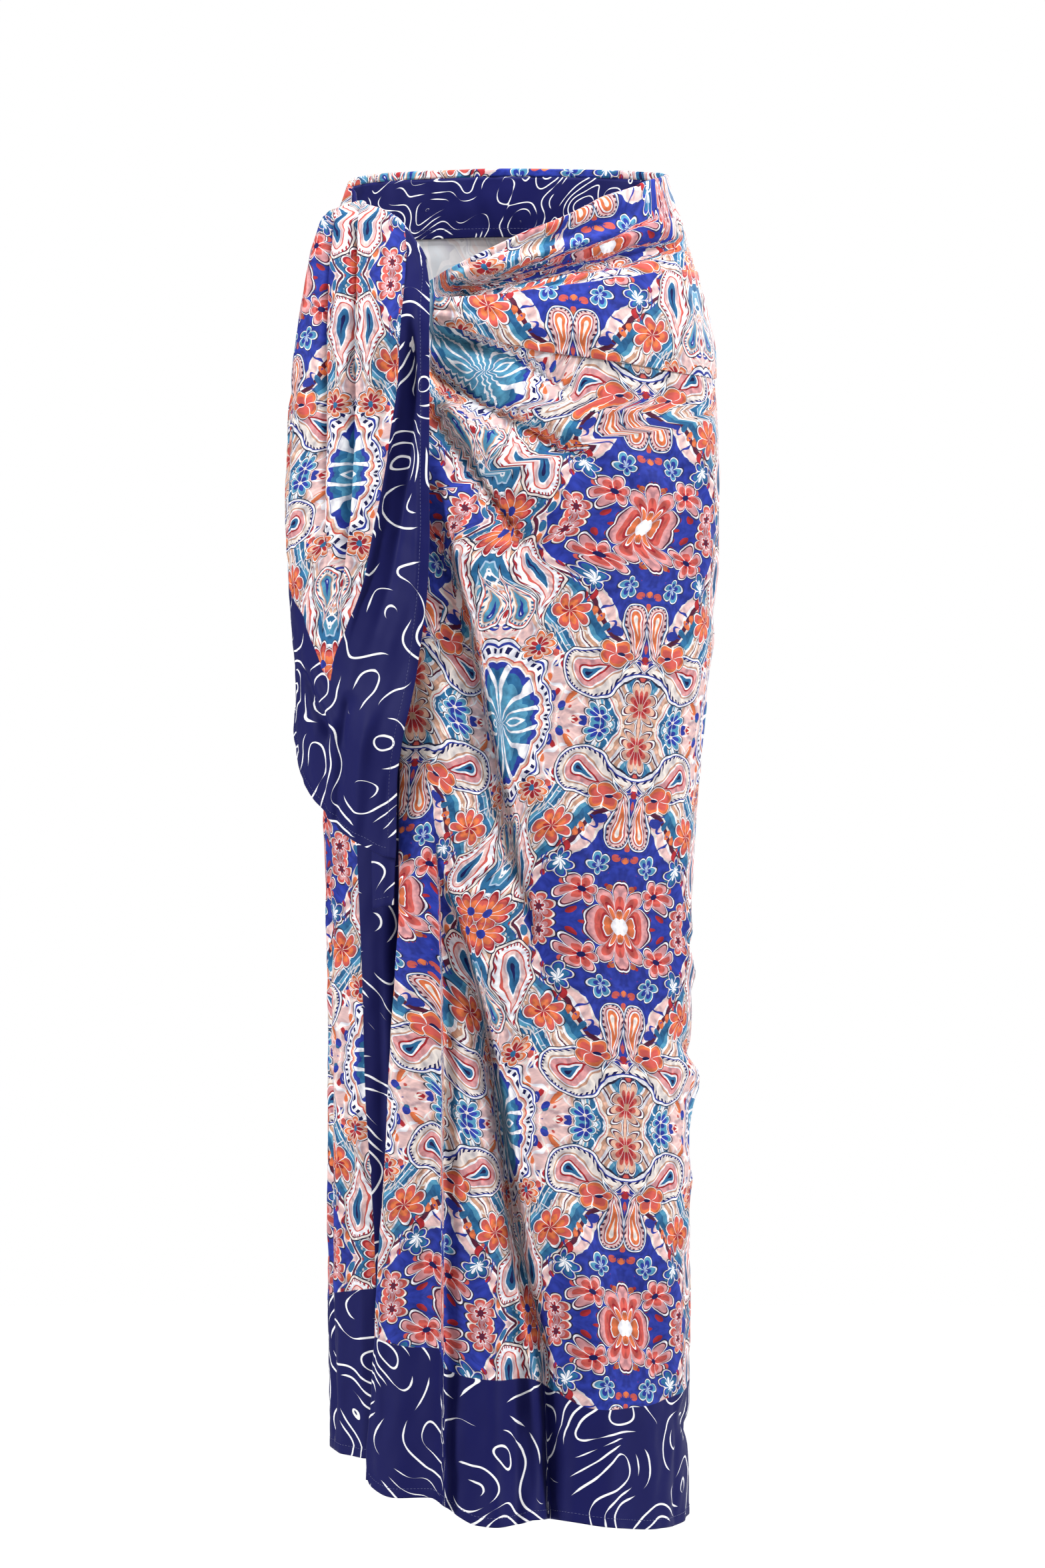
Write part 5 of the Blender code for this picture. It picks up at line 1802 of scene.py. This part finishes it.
def cloth_material(name, garden=True, faded=0.0, strokes=(50, 1.8)):
    """The crepe, with the border alone or round the garden print."""
    material, tree, shader = new_material(name, CREPE_FINISH)
    place = map_of(tree, "cloth")
    colour = use(tree, BORDER_PRINT, {
        "Cloth": place, "Size": strokes[0] * MM, "Width": strokes[1] * MM})["Color"]
    if garden:
        inset, _ = split(tree, map_of(tree, "edge"))
        inner = between(tree, inset, BORDER * MM - EDGE_SOFTNESS, BORDER * MM + EDGE_SOFTNESS)
        colour = blend(tree, inner, colour, use(tree, PRINT, {"Cloth": place})["Color"])
    if faded:
        colour = use(tree, SHOW_THROUGH, {"Color": colour, "Strength": faded})["Color"]
    tree.links.new(colour, shader.inputs["Base Color"])
    bump = tree.nodes.new("ShaderNodeBump")
    relief = use(tree, CREPE, {"Cloth": place, "Crinkle": CRINKLE})["Height"]
    feed(tree, bump, {"Strength": 0.35, "Distance": 0.00012, "Height": relief})
    tree.links.new(bump.outputs["Normal"], shader.inputs["Normal"])
    print(name, "made")
    return material


def dress(pieces, *materials):
    """Put the same materials on several pieces."""
    for piece in pieces:
        for material in materials:
            piece.data.materials.append(material)


right_side = cloth_material("printed_crepe")
wrong_side = cloth_material("printed_crepe_wrong_side", faded=0.2)
border_side = cloth_material("border_crepe", garden=False)
border_wrong = cloth_material("border_crepe_wrong_side", garden=False, faded=0.25)
fine_border_side = cloth_material("fine_border_crepe", garden=False, strokes=(27, 1.1))
thread, _, _ = new_material("blue_thread", THREAD_FINISH)
dress(sewn.values(), thread)
dress([front, back, inner_end, hip_band, large_tail, knot], right_side, wrong_side)
dress([turned_top], fine_border_side, border_wrong)
dress([small_tail], border_side, border_wrong)

# %% [markdown]
# ## Sheets
# Each stretch is a piece of one cloth, folds and all, and cloth can't grow. This cell only lists
# the stretches by name.

# %% Sheets
print("sheets stated for", [piece.name for piece in (front, back, inner_end, large_tail)])

# %% [markdown]
# ## The floor
# A pale floor lies where the wearer's feet would stand. The photograph's ground is pure
# white, and a lit floor never quite is, so the camera sees a glowing share of it while
# the light still falls on a matt one.

# %% The floor
FLOOR_LEVEL = -1.16
FLOOR_RADIUS = 5.0
FLOOR_GLOW = 1.15
GLOW_SHARE = 0.85


def camera_sees(tree, share, light, seen, output):
    """One shader for the light, and a share of another where the camera looks."""
    ray = tree.nodes.new("ShaderNodeLightPath").outputs["Is Camera Ray"]
    mix = tree.nodes.new("ShaderNodeMixShader")
    feed(tree, mix, {0: calc(tree, "MULTIPLY", ray, share), 1: light, 2: seen})
    tree.links.new(mix.outputs[0], tree.nodes[output].inputs["Surface"])


floor_mesh = bpy.data.meshes.new("floor")
floor_work = bmesh.new()
bmesh.ops.create_circle(floor_work, cap_ends=True, segments=96, radius=FLOOR_RADIUS)
floor_work.to_mesh(floor_mesh)
floor_work.free()
floor = add_object("floor", floor_mesh)
floor.location.z = FLOOR_LEVEL
pale, tree, matt = new_material("pale_floor", {"Base Color": (0.8, 0.8, 0.8, 1),
                                               "Roughness": 0.9})
glow = tree.nodes.new("ShaderNodeEmission")
feed(tree, glow, {"Strength": FLOOR_GLOW})
camera_sees(tree, GLOW_SHARE, matt.outputs[0], glow.outputs[0], "Material Output")
dress([floor], pale)
print("floor at", FLOOR_LEVEL, "m")

# %% [markdown]
# ## Light
# The photograph is lit evenly from both sides, and only the folds are darker. Two tall
# lamps stand far out at the sides, so a fold that turns away from both is in shade. A
# small lamp hangs over the open waist, because a large one would fill the shade in the
# folds, and one behind lights the hidden side. The world is dim for light and white for
# the camera.

# %% Light
LAMPS = [
    # name, place, aim, size, power
    ("left", (-3.25, -1.35, 1.0), (0, 0, -0.4), (0.8, 1.4), 132),
    ("right", (3.2, -1.45, 1.0), (0, 0, -0.4), (0.8, 1.4), 128),
    ("top", (0.05, -0.32, 0.72), (0, 0.09, -0.08), (0.25, 0.25), 10.5),
    ("back", (1.9, 2.9, 0.9), (0, 0, -0.5), (1.0, 1.4), 75),
]
WORLD_LIGHT = 0.12


def lamp(name, place, aim, size, power):
    """A soft rectangular lamp that looks at a point."""
    data = bpy.data.lights.new(name, "AREA")
    data.shape = "RECTANGLE"
    data.size, data.size_y = size
    data.energy = power
    light = add_object(name, data)
    light.location = place
    direction = Vector(aim) - Vector(place)
    light.rotation_euler = direction.to_track_quat("-Z", "Y").to_euler()


for row in LAMPS:
    lamp(*row)
world = bpy.data.worlds.new("studio")
world.use_nodes = True
tree = world.node_tree
studio = tree.nodes["Background"]
seen = tree.nodes.new("ShaderNodeBackground")
feed(tree, studio, {"Color": (1, 1, 1, 1), "Strength": WORLD_LIGHT})
feed(tree, seen, {"Color": (1, 1, 1, 1), "Strength": 1.0})
camera_sees(tree, 1.0, studio.outputs[0], seen.outputs[0], "World Output")
bpy.context.scene.world = world
bpy.context.scene.view_settings.view_transform = "Standard"
print(len(LAMPS), "lamps")
